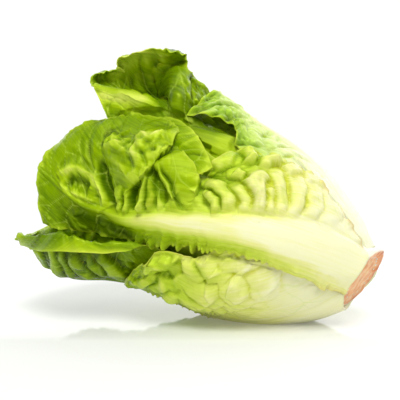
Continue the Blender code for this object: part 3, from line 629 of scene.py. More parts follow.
def relief_of(leaf, s, w, rim, strength, seed):
    """Height of a leaf's folds, ribs and blisters, and the shares that colour them: among them
    painted shade in its hollows and creases and painted highlight on its crests.
    """
    bent = 1.3 * waves(s, w, 9, seed + 1) + 0.35 * waves(s, w, 3.4, seed + 4)
    shifted = 1.3 * waves(s, w, 9, seed + 2) + 0.35 * waves(s, w, 3.4, seed + 7)
    crest, below, above, tall = (
        np.interp(s, [r[0] for r in leaf["rib"]], [r[k] for r in leaf["rib"]]) for k in (1, 2, 3, 4)
    )
    aside = w - crest
    beside = np.where(aside > 0, aside / above, -aside / below)
    rib = np.clip(1 - beside**2, 0, 1) ** 0.8
    off_rib = smooth(beside, 0.8, 1.5)
    out = np.abs(aside)
    turned = seed + 50 * (aside > 0)
    # Side veins leave the midrib towards the tip, so the tissue between them leans that way.
    lean = s - 0.75 * out + 2.5 * waves(s, w, 14, seed + 3)
    big, number = cells(lean / 11 + 7.0 * (aside > 0), out / 19 + 0.15 * waves(s, w, 9, seed), turned.max())
    small, own = cells(
        lean / 6 + 0.4 * waves(s, w, 7, seed + 5), out / 8 + 0.4 * waves(s, w, 7, seed + 6), seed + 9
    )
    swell = smooth(big, 0, 0.45) * (0.5 + 0.8 * number) - 0.5
    puff = smooth(small, 0, 0.4) * (0.4 + own) - 0.45
    depth = np.interp(s, [b[0] for b in leaf["blister"]], [b[1] for b in leaf["blister"]])
    depth = depth * off_rib * strength
    crumple = np.abs(waves(s, w, 17, seed + 11)) + 0.5 * np.abs(waves(s, w, 7, seed + 12)) - 0.5
    if "crisp" in leaf:
        crumple = crumple * (1 - 2 * smooth(s, leaf["crisp"] - 10, leaf["crisp"] + 10))
    for kind, amount, line in leaf["folds"]:
        if kind == "calm":
            depth = depth * (1 - amount * np.exp(-(to_line(line, s, w)[0] ** 2)))
    height = tall * rib + depth * (swell + 0.4 * puff)
    height = height + depth * (1.5 * crumple + 0.12 * waves(s, w, 2.6, seed + 13))
    fingers, creases, steps, tone_and_painted_light, shade = (np.zeros(s.shape) for _ in range(5))
    shift = np.zeros((2, *s.shape))
    near, second, rise_near = np.full(s.shape, 99.0), np.full(s.shape, 99.0), np.zeros(s.shape)
    uneven = 0.95 + 0.4 * waves(s, w, 6, seed + 8)
    beaded = np.sin(math.tau * s / 3 + 3 * waves(s, w, 7, seed + 14))
    for kind, rise, line in leaf["folds"]:
        reach, place, side, away = to_line(line, s + bent, w + shifted)
        ends = smooth(place, -0.05, 0.2) * smooth(1 - place, -0.1, 0.2)
        if kind == "finger":
            nearer = reach < near
            second = np.where(nearer, near, np.minimum(second, reach))
            rise_near = np.where(nearer, 1.3 * rise * ends * uneven, rise_near)
            near = np.where(nearer, reach, near)
        elif kind == "petal":
            ends = ends * smooth(1 - place, 0, 0.4)
            fingers = 1.3 * rise * ends * (1 - smooth(reach, 0.85, 1.05)) * (1 - 0.3 * reach**2)
            shift += away * 0.25 * rise * smooth(reach, 0.4, 0.9) * (1 - smooth(reach, 0.95, 1.2))
        elif kind == "crease":
            creases = np.maximum(creases, 1.2 * rise * ends * np.exp(-(reach**2)))
        elif kind == "ridge":
            steps = steps + rise * ends * np.exp(-1.3 * reach)
        # Paling lines: partly the leaf's own colour, partly painted highlight and painted light.
        elif kind == "tone_and_painted_light":
            tone_and_painted_light = tone_and_painted_light + rise * ends * np.exp(-(reach**2))
        # Shade lines: painted shade.
        elif kind == "shade":
            shade = np.maximum(shade, rise * ends * np.exp(-(reach**2)))
        elif kind == "crumple":
            sharp = 0.6 - np.abs(waves(s, w, 6.5, seed + 51)) - 0.6 * np.abs(waves(s, w, 3, seed + 52))
            steps = steps + rise * np.exp(-(reach**2)) * 1.8 * sharp
        elif kind == "beads":
            steps = steps + rise * ends * np.exp(-(reach**2)) * (0.4 + 0.6 * beaded)
        elif kind in ("step", "frill"):
            above = side * reach + (kind == "frill") * beaded
            fade = 1 - smooth(reach, 10, 24)
            steps = steps + rise * smooth(above, -0.6, 0.6) * fade * ends
            shift -= away * 0.35 * rise * ends * smooth(above, 0, 0.6) * np.exp(-((above / 2.5) ** 2))
    half = np.clip((near + second) / 2, 0.6, 1.35)
    rounded = rise_near * np.clip(1 - (near / half) ** 2, 0, 1) ** 0.6
    fingers = np.maximum(fingers, rounded * (fingers <= 0))
    # Painted shade where the tissue sinks between blisters and along creases; little on fingers.
    painted_shade = smooth(-height / (0.8 + depth), 0.05, 0.9) * np.where(fingers > 0, 0.15, 1)
    painted_shade = np.maximum(painted_shade, smooth(creases, 0.3, 2.5)) * off_rib
    height = np.where(fingers > 0, 0.35 * height + fingers, height - 0.9 * off_rib * depth)
    height = height + steps - creases
    # Painted shade in narrow and wide hollows, and painted highlight that pales the crests.
    hollow = blurred(height, 4) - height
    painted_shade = np.maximum(np.maximum(painted_shade, smooth(hollow, 0.1, 0.95) * smooth(beside, 1, 2.2)), shade)
    wide = (blurred(height, 12) - height) * smooth(beside, 1, 2.2)
    painted_shade = np.maximum(painted_shade, 0.9 * smooth(wide, 0.4, 2.1))
    tone_and_painted_light = tone_and_painted_light + 0.12 * smooth(-hollow, 0.1, 0.7) * off_rib + 0.14 * smooth(-wide, 0.4, 1.8)
    fray, length, reach = leaf["ruffle"]
    wild = np.exp(-rim / reach)
    fray = fray * np.where(w < 0, leaf.get("frill", 1), 1)
    height = height + fray * wild * (
        waves(s, w, length, seed + 21) + 0.5 * waves(s, w, length / 2.2, seed + 22)
    )
    vein = np.maximum(
        (1 - smooth(big, 0.01, 0.05)) * np.exp(-out / 40), 0.2 * (1 - smooth(small, 0.01, 0.05))
    )
    return height, shift, dict(rib=rib, vein=vein * off_rib, painted_shade=painted_shade, tone_and_painted_light=tone_and_painted_light)


def leaf_sheet(leaf, look, seed, size=1.0):
    """The outer and inner side of a leaf as grids of lying points, and what colours it."""
    rows = np.asarray(leaf["rows"], float)
    across_steps, along_steps = leaf["steps"]
    along = np.linspace(0, len(rows) - 1, along_steps + 1)
    across = np.linspace(0, rows.shape[1] - 1, across_steps + 1)
    lines = through(rows, along)
    base = np.stack([through(line, across) for line in lines])
    points = head_points(base[..., 0], base[..., 1], base[..., 2], size)
    middle = across_steps // 2
    along_mm = np.linalg.norm(np.diff(points[:, middle], axis=0), axis=1)
    s = np.concatenate([[0], np.cumsum(along_mm)])[:, None] * np.ones(across_steps + 1)
    s = s - leaf.get("start", 0)
    across_mm = np.linalg.norm(np.diff(points, axis=1), axis=2)
    w = np.concatenate([np.zeros((along_steps + 1, 1)), np.cumsum(across_mm, axis=1)], axis=1)
    w = w - w[:, middle : middle + 1]
    rim = np.minimum(np.minimum(w - w[:, :1], w[:, -1:] - w), s[-1:] - s)
    height, shift, fields = relief_of(leaf, s, w, rim, look.fold_strength, seed)
    rib = fields["rib"]
    near = base[..., 2] < 4
    if size == 1 and not leaf.get("free"):
        room = room_under(base[..., 0], base[..., 1]) - base[..., 2]
        height = np.where(near, np.minimum(height, np.maximum(room, -1.5)), height)
    normal, inwards = normals_of(points)
    for start, end, tall, length, reach in leaf.get("curls", ()):
        within = smooth(s, start, start + 12) * (1 - smooth(s, end - 6, end + 6))
        curl = tall * np.exp(-rim / reach) * (w < 0) * within
        phase = math.tau * s / length + 4.4 * waves(s, 0.4 * w, 1.6 * length, seed + 41)
        uneven = 0.6 + 0.5 * waves(s, w, 1.1 * length, seed + 42)
        shift[1] += curl * uneven * np.sin(phase)
        height = height + curl * uneven * np.cos(phase)
    outer = points + height[..., None] * normal
    for way, moved in ((0, shift[0]), (1, shift[1])):
        run = np.gradient(points, axis=way)
        run /= np.linalg.norm(run, axis=2)[..., None] + 1e-9
        outer = outer + moved[..., None] * run
    blade = look.blade_thickness / MM
    thick = blade * (0.55 + 0.45 * smooth(rim, 0, 3)) + 1.4 * rib
    inner = outer - thick[..., None] * normal
    outer[..., 2] = np.maximum(outer[..., 2], 0)
    inner[..., 2] = np.maximum(inner[..., 2], 0.3)
    if size == 1:
        low = base[..., 2] + height - thick
        np.minimum.at(COVER, cover_cell(base[..., 0], base[..., 1]), np.where(near, low, 99))
    at_rib, above, below = (
        np.interp(s, [p[0] for p in leaf["pale"]], [p[k] for p in leaf["pale"]]) for k in (1, 2, -1)
    )
    spread = smooth(np.abs(w) / (np.abs(w) + rim + 1e-6))
    pale = at_rib * (1 - spread) + np.where(w > 0, above, below) * spread
    pale = pale + 0.3 * rib * (1 - smooth(s, 90, 130)) * (1 - 0.8 * smooth(-w, 0, 6))
    # The paling lines and crests add to the paleness: painted highlight and painted light as well as the leaf's own
    # colour.
    pale = pale + fields.pop("tone_and_painted_light") * (1 - 0.8 * np.clip(pale, 0, 1))
    pale = pale + 0.06 * waves(s, w, 12, seed + 31)
    fields.update(pale=pale, edge=np.exp(-rim / 1.1))
    place = np.stack([s, w, np.zeros(s.shape)], axis=2)
    return outer, inner, inwards, fields, place


# ---------------------------------------------------------------- meshes


def grid_faces(ids, flip):
    """Two triangles for each square of a grid of vertex numbers."""
    a, b, c, d = ids[:-1, :-1], ids[:-1, 1:], ids[1:, 1:], ids[1:, :-1]
    faces = np.concatenate(
        [np.stack([a, b, c], axis=2).reshape(-1, 3), np.stack([a, c, d], axis=2).reshape(-1, 3)]
    )
    return faces[:, ::-1] if flip else faces


def rim_faces(fine, coarse, flip):
    """Triangles between an edge and one with half as many points."""
    faces = np.concatenate(
        [
            np.stack([fine[0:-2:2], fine[1::2], coarse[:-1]], axis=1),
            np.stack([fine[1::2], coarse[1:], coarse[:-1]], axis=1),
            np.stack([fine[1::2], fine[2::2], coarse[1:]], axis=1),
        ]
    )
    return faces[:, ::-1] if flip else faces


def mesh_of(name, points, faces, finish):
    """A new object, at the origin, from points in millimetres and triangles."""
    mesh = bpy.data.meshes.new(name)
    mesh.vertices.add(len(points))
    mesh.vertices.foreach_set("co", np.asarray(points * MM, np.float32).ravel())
    mesh.loops.add(3 * len(faces))
    mesh.loops.foreach_set("vertex_index", np.asarray(faces, np.int32).ravel())
    mesh.polygons.add(len(faces))
    mesh.polygons.foreach_set("loop_start", np.arange(0, 3 * len(faces), 3, dtype=np.int32))
    mesh.polygons.foreach_set("loop_total", np.full(len(faces), 3, np.int32))
    mesh.materials.append(finish)
    mesh.update(calc_edges=True)
    mesh.validate()
    mesh.shade_smooth()
    obj = bpy.data.objects.new(name, mesh)
    bpy.context.scene.collection.objects.link(obj)
    return obj


def add_fields(mesh, fields, place):
    for field, values in fields.items():
        made = mesh.attributes.new(field, "FLOAT", "POINT")
        made.data.foreach_set("value", np.asarray(values, np.float32))
    made = mesh.attributes.new("leaf_mm", "FLOAT_VECTOR", "POINT")
    made.data.foreach_set("vector", np.asarray(place, np.float32).ravel())


def add_leaf(node, leaf, look, finish, seed, size=1.0):
    """One leaf as a closed thin solid, in place of its CAD node."""
    outer, inner, inwards, fields, place = leaf_sheet(leaf, look, seed, size)
    inner = inner[::2, ::2]
    fine = np.arange(outer[..., 0].size).reshape(outer.shape[:2])
    coarse = fine.size + np.arange(inner[..., 0].size).reshape(inner.shape[:2])
    faces = [grid_faces(fine, inwards), grid_faces(coarse, not inwards)]
    for pick, turn in (
        (lambda g: g[0], True), (lambda g: g[-1], False),
        (lambda g: g[:, 0], False), (lambda g: g[:, -1], True),
    ):
        faces.append(rim_faces(pick(fine), pick(coarse), turn != inwards))
    points = np.concatenate([outer.reshape(-1, 3), inner.reshape(-1, 3)])
    obj = mesh_of(node.replace("leaf", "blade"), points, np.concatenate(faces), finish)
    both = {
        name: np.concatenate([values.ravel(), values[::2, ::2].ravel()])
        for name, values in fields.items()
    }
    both_places = np.concatenate([place.reshape(-1, 3), place[::2, ::2].reshape(-1, 3)])
    add_fields(obj.data, both, both_places)
    low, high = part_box(node)
    middle = points.mean(axis=0) * MM
    if not all(low[k] - 0.02 < middle[k] < high[k] + 0.02 for k in range(3)):
        raise RuntimeError(f"{node} isn't where its CAD solid is")
    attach(obj, BODY)
    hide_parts(node)
    return obj


# ---------------------------------------------------------------- materials


def linear(colour):
    """A colour such as "#8DB01A" as linear red, green, blue and alpha."""
    parts = [int(colour[k : k + 2], 16) / 255 for k in (1, 3, 5)]
    return (*(c / 12.92 if c <= 0.04045 else ((c + 0.055) / 1.055) ** 2.4 for c in parts), 1.0)


def node(tree, kind, links=(), **settings):
    """A node of a tree. Settings are its properties, or values of its inputs where the name
    starts with in_ and a number; links are (input, output socket)."""
    made = tree.nodes.new(kind)
    for name, value in settings.items():
        if name.startswith("in_"):
            made.inputs[int(name[3:])].default_value = value
        else:
            setattr(made, name, value)
    for into, out in links:
        tree.links.new(out, made.inputs[into])
    return made


def ramp(made, stops):
    """Sets a colour ramp's stops: (position, colour)."""
    elements = made.color_ramp.elements
    while len(elements) > 1:
        elements.remove(elements[-1])
    elements[0].position, elements[0].color = stops[0][0], linear(stops[0][1])
    for position, colour in stops[1:]:
        elements.new(position).color = linear(colour)
    return made


def leaf_tissue(name, stops, roughness):
    """Fresh lettuce leaf: a waxy, slightly wet skin over thin tissue that glows where light comes
    through. It gives soft broad highlights and pale veins; painted shade darkens its creases and
    hollows, yellow-green in pale tissue, and its edges are yellower, partly with painted glow."""
    made = bpy.data.materials.new(name)
    made.use_nodes = True
    tree = made.node_tree
    tree.nodes.clear()
    pale, vein, painted_shade, edge = (
        node(tree, "ShaderNodeAttribute", attribute_name=field).outputs["Fac"]
        for field in ("pale", "vein", "painted_shade", "edge")
    )
    place = node(tree, "ShaderNodeAttribute", attribute_name="leaf_mm").outputs["Vector"]
    # Cloudy patches about 9 mm across, where the green is a little stronger or weaker.
    cloud = node(tree, "ShaderNodeTexNoise", [("Vector", place)])
    cloud.inputs["Scale"].default_value = 0.11
    cloud.inputs["Detail"].default_value = 4
    shift = node(
        tree, "ShaderNodeMath", [(0, cloud.outputs["Fac"])], operation="MULTIPLY_ADD", in_1=0.16, in_2=-0.08
    )
    tone_and_painted_light = node(
        tree, "ShaderNodeMath", [(0, pale), (1, shift.outputs[0])], operation="ADD", use_clamp=True
    )
    # Fibres along the midrib, about 1 mm across: they lighten and darken pale tissue a little.
    stretched = node(tree, "ShaderNodeVectorMath", [(0, place)], operation="MULTIPLY", in_1=(0.05, 1, 1))
    fibre = node(tree, "ShaderNodeTexNoise", [("Vector", stretched.outputs[0])])
    fibre.inputs["Scale"].default_value = 0.8
    fibre.inputs["Detail"].default_value = 3
    streak = node(
        tree, "ShaderNodeMath", [(0, fibre.outputs["Fac"]), (2, tone_and_painted_light.outputs[0])],
        operation="MULTIPLY_ADD", in_1=0.32,
    )
    tone_and_painted_light = node(tree, "ShaderNodeMath", [(0, streak.outputs[0])], operation="SUBTRACT", in_1=0.16, use_clamp=True)
    body = ramp(node(tree, "ShaderNodeValToRGB", [(0, tone_and_painted_light.outputs[0])]), stops)
    # Painted shade in creases and hollows: dark in green tissue, yellow-green in pale.
    shade_tint = ramp(
        node(tree, "ShaderNodeValToRGB", [(0, tone_and_painted_light.outputs[0])]),
        [(0.0, "#465E0C"), (0.35, "#94AE20"), (0.75, "#DDE070"), (1.0, "#F2F2B0")],
    )
    shaded_colour = node(
        tree, "ShaderNodeMix", [(6, body.outputs[0]), (7, shade_tint.outputs[0])],
        data_type="RGBA", blend_type="MULTIPLY",
    )
    shade_share = node(tree, "ShaderNodeMath", [(0, painted_shade)], operation="MULTIPLY", in_1=0.95)
    tree.links.new(shade_share.outputs[0], shaded_colour.inputs[0])
    light = node(
        tree, "ShaderNodeMix", [(6, shaded_colour.outputs[2])],
        data_type="RGBA", blend_type="MIX", in_7=linear("#C2DA50"),
    )
    lines = node(tree, "ShaderNodeMath", [(0, vein)], operation="MULTIPLY", in_1=0.5)
    tree.links.new(lines.outputs[0], light.inputs[0])
    # Margins: yellower, partly painted glow of light through the thin edge and partly the margin's own colour,
    # browner near the stem.
    hem_glow_and_colour = ramp(
        node(tree, "ShaderNodeValToRGB", [(0, tone_and_painted_light.outputs[0])]),
        [(0.0, "#B8D828"), (0.4, "#DCE850"), (0.74, "#E6E47C"), (0.94, "#D8B870")],
    )
    brink = node(
        tree, "ShaderNodeMix", [(6, light.outputs[2]), (7, hem_glow_and_colour.outputs[0])],
        data_type="RGBA", blend_type="MIX",
    )
    hem = node(tree, "ShaderNodeMath", [(0, edge)], operation="MULTIPLY", in_1=0.85)
    tree.links.new(hem.outputs[0], brink.inputs[0])
    # Network of the finest veins, 1.8 mm across, and the grain of the skin, 0.5 mm.
    net = node(
        tree, "ShaderNodeTexVoronoi", [("Vector", place)], feature="DISTANCE_TO_EDGE"
    )
    net.inputs["Scale"].default_value = 0.55
    grain = node(tree, "ShaderNodeTexNoise", [("Vector", place)])
    grain.inputs["Scale"].default_value = 2
    grain.inputs["Detail"].default_value = 3
    veined = node(
        tree, "ShaderNodeMath", [(0, net.outputs["Distance"])], operation="MINIMUM", in_1=0.12
    )
    rough = node(
        tree, "ShaderNodeMath", [(0, grain.outputs["Fac"]), (1, veined.outputs[0])], operation="ADD"
    )
    bump = node(tree, "ShaderNodeBump", [("Height", rough.outputs[0])])
    bump.inputs["Strength"].default_value = 0.35
    bump.inputs["Distance"].default_value = 0.0004
    gloss = node(
        tree, "ShaderNodeMapRange", [(0, cloud.outputs["Fac"])], in_3=roughness - 0.08, in_4=roughness + 0.08
    )
    shader = node(
        tree, "ShaderNodeBsdfPrincipled",
        [("Base Color", brink.outputs[2]), ("Roughness", gloss.outputs[0]), ("Normal", bump.outputs[0])],
    )
    shader.inputs["IOR"].default_value = 1.42
    shader.inputs["Specular IOR Level"].default_value = 0.7
    shader.inputs["Specular Tint"].default_value = linear("#DEEE54")
    shader.inputs["Subsurface Weight"].default_value = 0.12
    shader.inputs["Subsurface Radius"].default_value = (1.0, 0.8, 0.15)
    shader.inputs["Subsurface Scale"].default_value = 0.002
    node(tree, "ShaderNodeOutputMaterial", [(0, shader.outputs[0])])
    return made


GREEN_STOPS = [
    (0.0, "#587C00"), (0.12, "#7A9C00"), (0.3, "#9CBA0A"), (0.5, "#BED63A"), (0.7, "#DAE468"),
    (0.86, "#EDEC9C"), (1.0, "#F4F2C8"),
]


MILKY_STOPS = [
    (0.0, "#7CA81C"), (0.2, "#A8CC48"), (0.4, "#C8E078"), (0.6, "#DAEA9A"), (0.8, "#EAF0B8"),
    (1.0, "#F6F6D6"),
]


def stem_flesh(name):
    """Cut stem of lettuce: cream flesh, smooth on its side; the cut face has dried to salmon
    brown, darker in its rim, with pores."""
    made = bpy.data.materials.new(name)
    made.use_nodes = True
    tree = made.node_tree
    tree.nodes.clear()
    cut = node(tree, "ShaderNodeAttribute", attribute_name="cut").outputs["Fac"]
    rust = node(tree, "ShaderNodeAttribute", attribute_name="rust").outputs["Fac"]
    place = node(tree, "ShaderNodeTexCoord").outputs["Object"]
    blotch = node(tree, "ShaderNodeTexNoise", [("Vector", place)])
    blotch.inputs["Scale"].default_value = 300
    blotch.inputs["Detail"].default_value = 5
    side = ramp(
        node(tree, "ShaderNodeValToRGB", [(0, blotch.outputs["Fac"])]),
        [(0.3, "#F3EBD2"), (0.7, "#FBF4E2")],
    )
    face = ramp(
        node(tree, "ShaderNodeValToRGB", [(0, blotch.outputs["Fac"])]),
        [(0.32, "#E4945A"), (0.5, "#FCB87C"), (0.7, "#FFDAAC")],
    )
    rim = node(
        tree, "ShaderNodeMix", [(0, rust), (6, face.outputs[0])],
        data_type="RGBA", blend_type="MULTIPLY", in_7=linear("#D89A74"),
    )
    both = node(
        tree, "ShaderNodeMix", [(0, cut), (6, side.outputs[0]), (7, rim.outputs[2])],
        data_type="RGBA", blend_type="MIX",
    )
    fibre = node(tree, "ShaderNodeTexNoise", [("Vector", place)])
    fibre.inputs["Scale"].default_value = 1400
    bump = node(tree, "ShaderNodeBump", [("Height", fibre.outputs["Fac"])])
    bump.inputs["Strength"].default_value = 0.4
    bump.inputs["Distance"].default_value = 0.0003
    shader = node(
        tree, "ShaderNodeBsdfPrincipled",
        [("Base Color", both.outputs[2]), ("Normal", bump.outputs[0])],
    )
    shader.inputs["Roughness"].default_value = 0.45
    shader.inputs["IOR"].default_value = 1.42
    shader.inputs["Subsurface Weight"].default_value = 0.3
    shader.inputs["Subsurface Radius"].default_value = (1.2, 1.0, 0.6)
    shader.inputs["Subsurface Scale"].default_value = 0.003
    node(tree, "ShaderNodeOutputMaterial", [(0, shader.outputs[0])])
    return made


# ---------------------------------------------------------------- the stem

# Rings of the stem up the upright head: radius and height. The first lie on the cut.
CUT_RINGS = [(0, 0.4), (2.2, 0.45), (5.6, 0.35), (9, 0.5), (10.7, 0.75), (11.9, 0.3), (13.6, 0.15)]
SIDE_RINGS = [
    (14.7, 0.1), (15.2, 0.5), (15.3, 1.2), (15.1, 2.4), (15.0, 3.6), (15.2, 5), (15.4, 8),
    (14.4, 12), (12, 18), (8.6, 26), (5, 38), (1.6, 51), (0, 52),
]
STEM_SIDES = 160
CUT_SLOPE = 0.21  # fall of the cut towards the upper side
CUT_FRONT_SLOPE = 0.12  # and its rise towards the front
CUT_REACH = 7  # height at which the slope of the cut has died out


def cut_point(turn, radius, height):
    """A lying point of the stem, in millimetres, on the slanting cut where it is low."""
    front, up = radius * np.cos(turn), radius * np.sin(turn)
    low = np.clip(1 - height / CUT_REACH, 0, 1)
    return laid(front, up, height + low * (CUT_FRONT_SLOPE * front - CUT_SLOPE * up))


def stem_grid():
    rings = np.array(CUT_RINGS + SIDE_RINGS)
    places = np.linspace(0, len(rings) - 1, 6 * (len(rings) - 1) + 1)
    profile = through(rings, places)
    turn = np.linspace(0, math.tau, STEM_SIDES, endpoint=False)[None] * np.ones((len(places), 1))
    radius, height = (profile[:, k][:, None] * np.ones(STEM_SIDES) for k in (0, 1))
    x, y = radius * np.cos(turn), radius * np.sin(turn)
    # The outline isn't round: the bases of the outer leaves stand out in it.
    lobes = 1 + 0.03 * waves(x * 12 / (radius + 1), y * 12 / (radius + 1), 5, 3) * smooth(radius, 7, 15)
    on_cut = places[:, None] <= len(CUT_RINGS)
    height = height + np.where(on_cut, 0.25, 0.05) * waves(x, y, 2.2, 5)
    points = cut_point(turn, radius * lobes, height)
    cut = 1 - smooth(places, len(CUT_RINGS) - 0.9, len(CUT_RINGS) + 0.6)[:, None] * np.ones(STEM_SIDES)
    rust = smooth(radius, 10, 14.6) * (0.6 + 0.4 * waves(x, y, 6, 8))
    return points, cut, rust


# ---------------------------------------------------------------- add-on


class LettuceLeafSettings(bpy.types.PropertyGroup):
    blade_thickness: bpy.props.FloatProperty(
        name="Blade thickness", description="Thickness of the leaf blade between its veins",
        default=0.0006, min=0.0003, max=0.0015, unit="LENGTH",
    )
    fold_strength: bpy.props.FloatProperty(
        name="Blisters", description="How deeply the tissue is blistered between its veins",
        default=1.0, min=0.0, max=2.0, subtype="FACTOR",
    )
    roughness: bpy.props.FloatProperty(
        name="Roughness", description="Roughness of the waxy leaf skin",
        default=0.22, min=0.1, max=0.9, subtype="FACTOR",
    )


class LettuceStemSettings(bpy.types.PropertyGroup):
    bundle_count: bpy.props.IntProperty(
        name="Bundles", description="Vascular bundles in the ring on the cut face",
        default=26, min=8, max=60,
    )
    bundle_size: bpy.props.FloatProperty(
        name="Bundle size", description="Width of one bundle on the cut face",
        default=0.0011, min=0.0003, max=0.003, unit="LENGTH",
    )


class LettuceStageSettings(bpy.types.PropertyGroup):
    floor_colour: bpy.props.FloatVectorProperty(
        name="Floor", description="Colour of the table top", subtype="COLOR",
        default=(0.74, 0.75, 0.72), size=3, min=0, max=1,
    )
    camera_height: bpy.props.FloatProperty(
        name="Camera elevation", description="Angle of the camera above the horizon",
        default=math.radians(10), subtype="ANGLE",
    )
    key_power: bpy.props.FloatProperty(
        name="Key light", description="Strength of the main soft light", default=2.401, min=0.0,
    )
    sky: bpy.props.FloatProperty(
        name="Surrounding light", description="Strength of the even light from all round",
        default=0.22, min=0.0, max=4.0,
    )
    floor_glow: bpy.props.FloatProperty(
        name="Floor glow", description="How strongly the table top is lit through from below",
        default=0.1, min=0.0, max=2.0,
    )
    backdrop: bpy.props.FloatProperty(
        name="Backdrop", description="Strength of the white backdrop behind the head",
        default=1.4, min=0.0, max=4.0,
    )


class LETTUCE_OT_leaves(bpy.types.Operator):
    """Shared work of the operators that make leaves"""

    bl_idname = "lettuce.leaves"
    bl_label = "Leaves"
    names = ()

    def execute(self, context):
        look = context.scene.lettuce_leaves
        waxy = bpy.data.materials.get("romaine leaf, waxy") or leaf_tissue(
            "romaine leaf, waxy", GREEN_STOPS, look.roughness
        )
        milky = bpy.data.materials.get("romaine leaf, milky") or leaf_tissue(
            "romaine leaf, milky", MILKY_STOPS, look.roughness + 0.06
        )
        for name in self.names:
            seed = 100 * (1 + list(LEAVES).index(name))
            finish = milky if "milky" in LEAVES[name] else waxy
            add_leaf(name, LEAVES[name], look, finish, seed)
        return {"FINISHED"}


class LETTUCE_OT_outer(LETTUCE_OT_leaves):
    """Make the outermost leaves: front, top, lower and back"""

    bl_idname = "lettuce.outer_leaves"
    bl_label = "Outer leaves"
    names = ("front_outer_leaf", "top_outer_leaf", "lower_outer_leaf", "back_outer_leaf")


class LETTUCE_OT_second(LETTUCE_OT_leaves):
    """Make the leaves that show between the outermost ones"""

    bl_idname = "lettuce.second_leaves"
    bl_label = "Second leaves"
    names = (
        "folded_inner_leaf", "upper_outer_leaf", "low_tip_leaf", "shoulder_leaf", "cheek_leaf", "hip_leaf",
    )


class LETTUCE_OT_heart(bpy.types.Operator):
    """Make the heart leaves, each turned on by the golden angle"""

    bl_idname = "lettuce.heart_leaves"
    bl_label = "Heart leaves"

    def execute(self, context):
        look = context.scene.lettuce_leaves
        finish = leaf_tissue(
            "romaine heart leaf, tender",
            [(p, c) for p, c in GREEN_STOPS if p > 0.1] , look.roughness + 0.04,
        )
        for number in range(HEART_COUNT):
            turn = HEART_TURN + GOLDEN_ANGLE * number
            width = np.interp(number, (0, HEART_COUNT - 1), HEART_SPREAD)
            size = float(np.interp(number, (0, HEART_COUNT - 1), HEART_SIZES))
            rows = [
                [(high - drop * side**2, turn + width * spread * side, 0) for side in np.linspace(-1, 1, 5)]
                for high, spread, drop in HEART_ROWS
            ]
            leaf = dict(HEART_LEAF, rows=rows)
            add_leaf(f"heart_leaf_{number + 1:02d}", leaf, look, finish, 2000 + 100 * number, size)
        return {"FINISHED"}


def bundle_tree():
    """Geometry Nodes: a bead on each point of a ring, realised, with its material."""
    tree = bpy.data.node_groups.new("ring of bundles", "GeometryNodeTree")
    for name, kind, way in (
        ("Count", "NodeSocketInt", "INPUT"), ("Ring radius", "NodeSocketFloat", "INPUT"),
        ("Bead", "NodeSocketFloat", "INPUT"), ("Finish", "NodeSocketMaterial", "INPUT"),
        ("Geometry", "NodeSocketGeometry", "OUTPUT"),
    ):
        tree.interface.new_socket(name, in_out=way, socket_type=kind)
    given = node(tree, "NodeGroupInput").outputs
    ring = node(
        tree, "GeometryNodeMeshCircle", [("Vertices", given["Count"]), ("Radius", given["Ring radius"])]
    )
    bead = node(tree, "GeometryNodeMeshUVSphere", [("Radius", given["Bead"])])
    bead.inputs["Segments"].default_value = 8
    bead.inputs["Rings"].default_value = 5
    uneven = node(tree, "FunctionNodeRandomValue", data_type="FLOAT")
    uneven.inputs[2].default_value, uneven.inputs[3].default_value = 0.6, 1.3
    uneven.inputs["Seed"].default_value = 7
    placed = node(
        tree, "GeometryNodeInstanceOnPoints",
        [("Points", ring.outputs[0]), ("Instance", bead.outputs[0]), ("Scale", uneven.outputs[1])],
    )
    real = node(tree, "GeometryNodeRealizeInstances", [(0, placed.outputs[0])])
    dressed = node(
        tree, "GeometryNodeSetMaterial", [("Geometry", real.outputs[0]), ("Material", given["Finish"])]
    )
    node(tree, "NodeGroupOutput", [(0, dressed.outputs[0])])
    return tree


def add_bundles(settings, finish):
    """The ring of vascular bundles, laid on the cut face as a plain mesh."""
    tree = bundle_tree()
    holder = bpy.data.objects.new("bundle ring", bpy.data.meshes.new("bundle ring"))
    bpy.context.scene.collection.objects.link(holder)
    made = holder.modifiers.new("ring", "NODES")
    made.node_group = tree
    values = {
        "Count": settings.bundle_count, "Ring radius": 0.0108,
        "Bead": settings.bundle_size / 2, "Finish": finish,
    }
    for item in tree.interface.items_tree:
        if item.in_out == "INPUT":
            made[item.identifier] = values[item.name]
    holder.update_tag()
    graph = bpy.context.evaluated_depsgraph_get()
    mesh = bpy.data.meshes.new_from_object(holder.evaluated_get(graph))
    bpy.data.objects.remove(holder)
    local = np.array([v.co for v in mesh.vertices]) / MM
    turn, radius = np.arctan2(local[:, 1], local[:, 0]), np.hypot(local[:, 0], local[:, 1])
    placed = cut_point(turn, radius, 0.62 + 0.35 * local[:, 2]) * MM
    mesh.vertices.foreach_set("co", placed.astype(np.float32).ravel())
    obj = bpy.data.objects.new("cut_bundles", mesh)
    bpy.context.scene.collection.objects.link(obj)
    return obj


class LETTUCE_OT_stem(bpy.types.Operator):
    """Make the cut stem and the ring of bundles on its face"""

    bl_idname = "lettuce.stem"
    bl_label = "Stem"

    def execute(self, context):
        flesh = stem_flesh("lettuce stem, cut and dried")
        points, cut, rust = stem_grid()
        ids = np.arange(cut.size).reshape(cut.shape)
        ids[0], ids[-1] = ids[0, 0], ids[-1, 0]
        ids = np.concatenate([ids, ids[:, :1]], axis=1)
        obj = mesh_of("stem_core", points.reshape(-1, 3), grid_faces(ids, False), flesh)
        add_fields(obj.data, dict(cut=cut.ravel(), rust=rust.ravel()), points.reshape(-1, 3))
        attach(obj, BODY)
        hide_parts("stem")
        beads = add_bundles(context.scene.lettuce_stem, flesh)
        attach(beads, BODY)
        return {"FINISHED"}


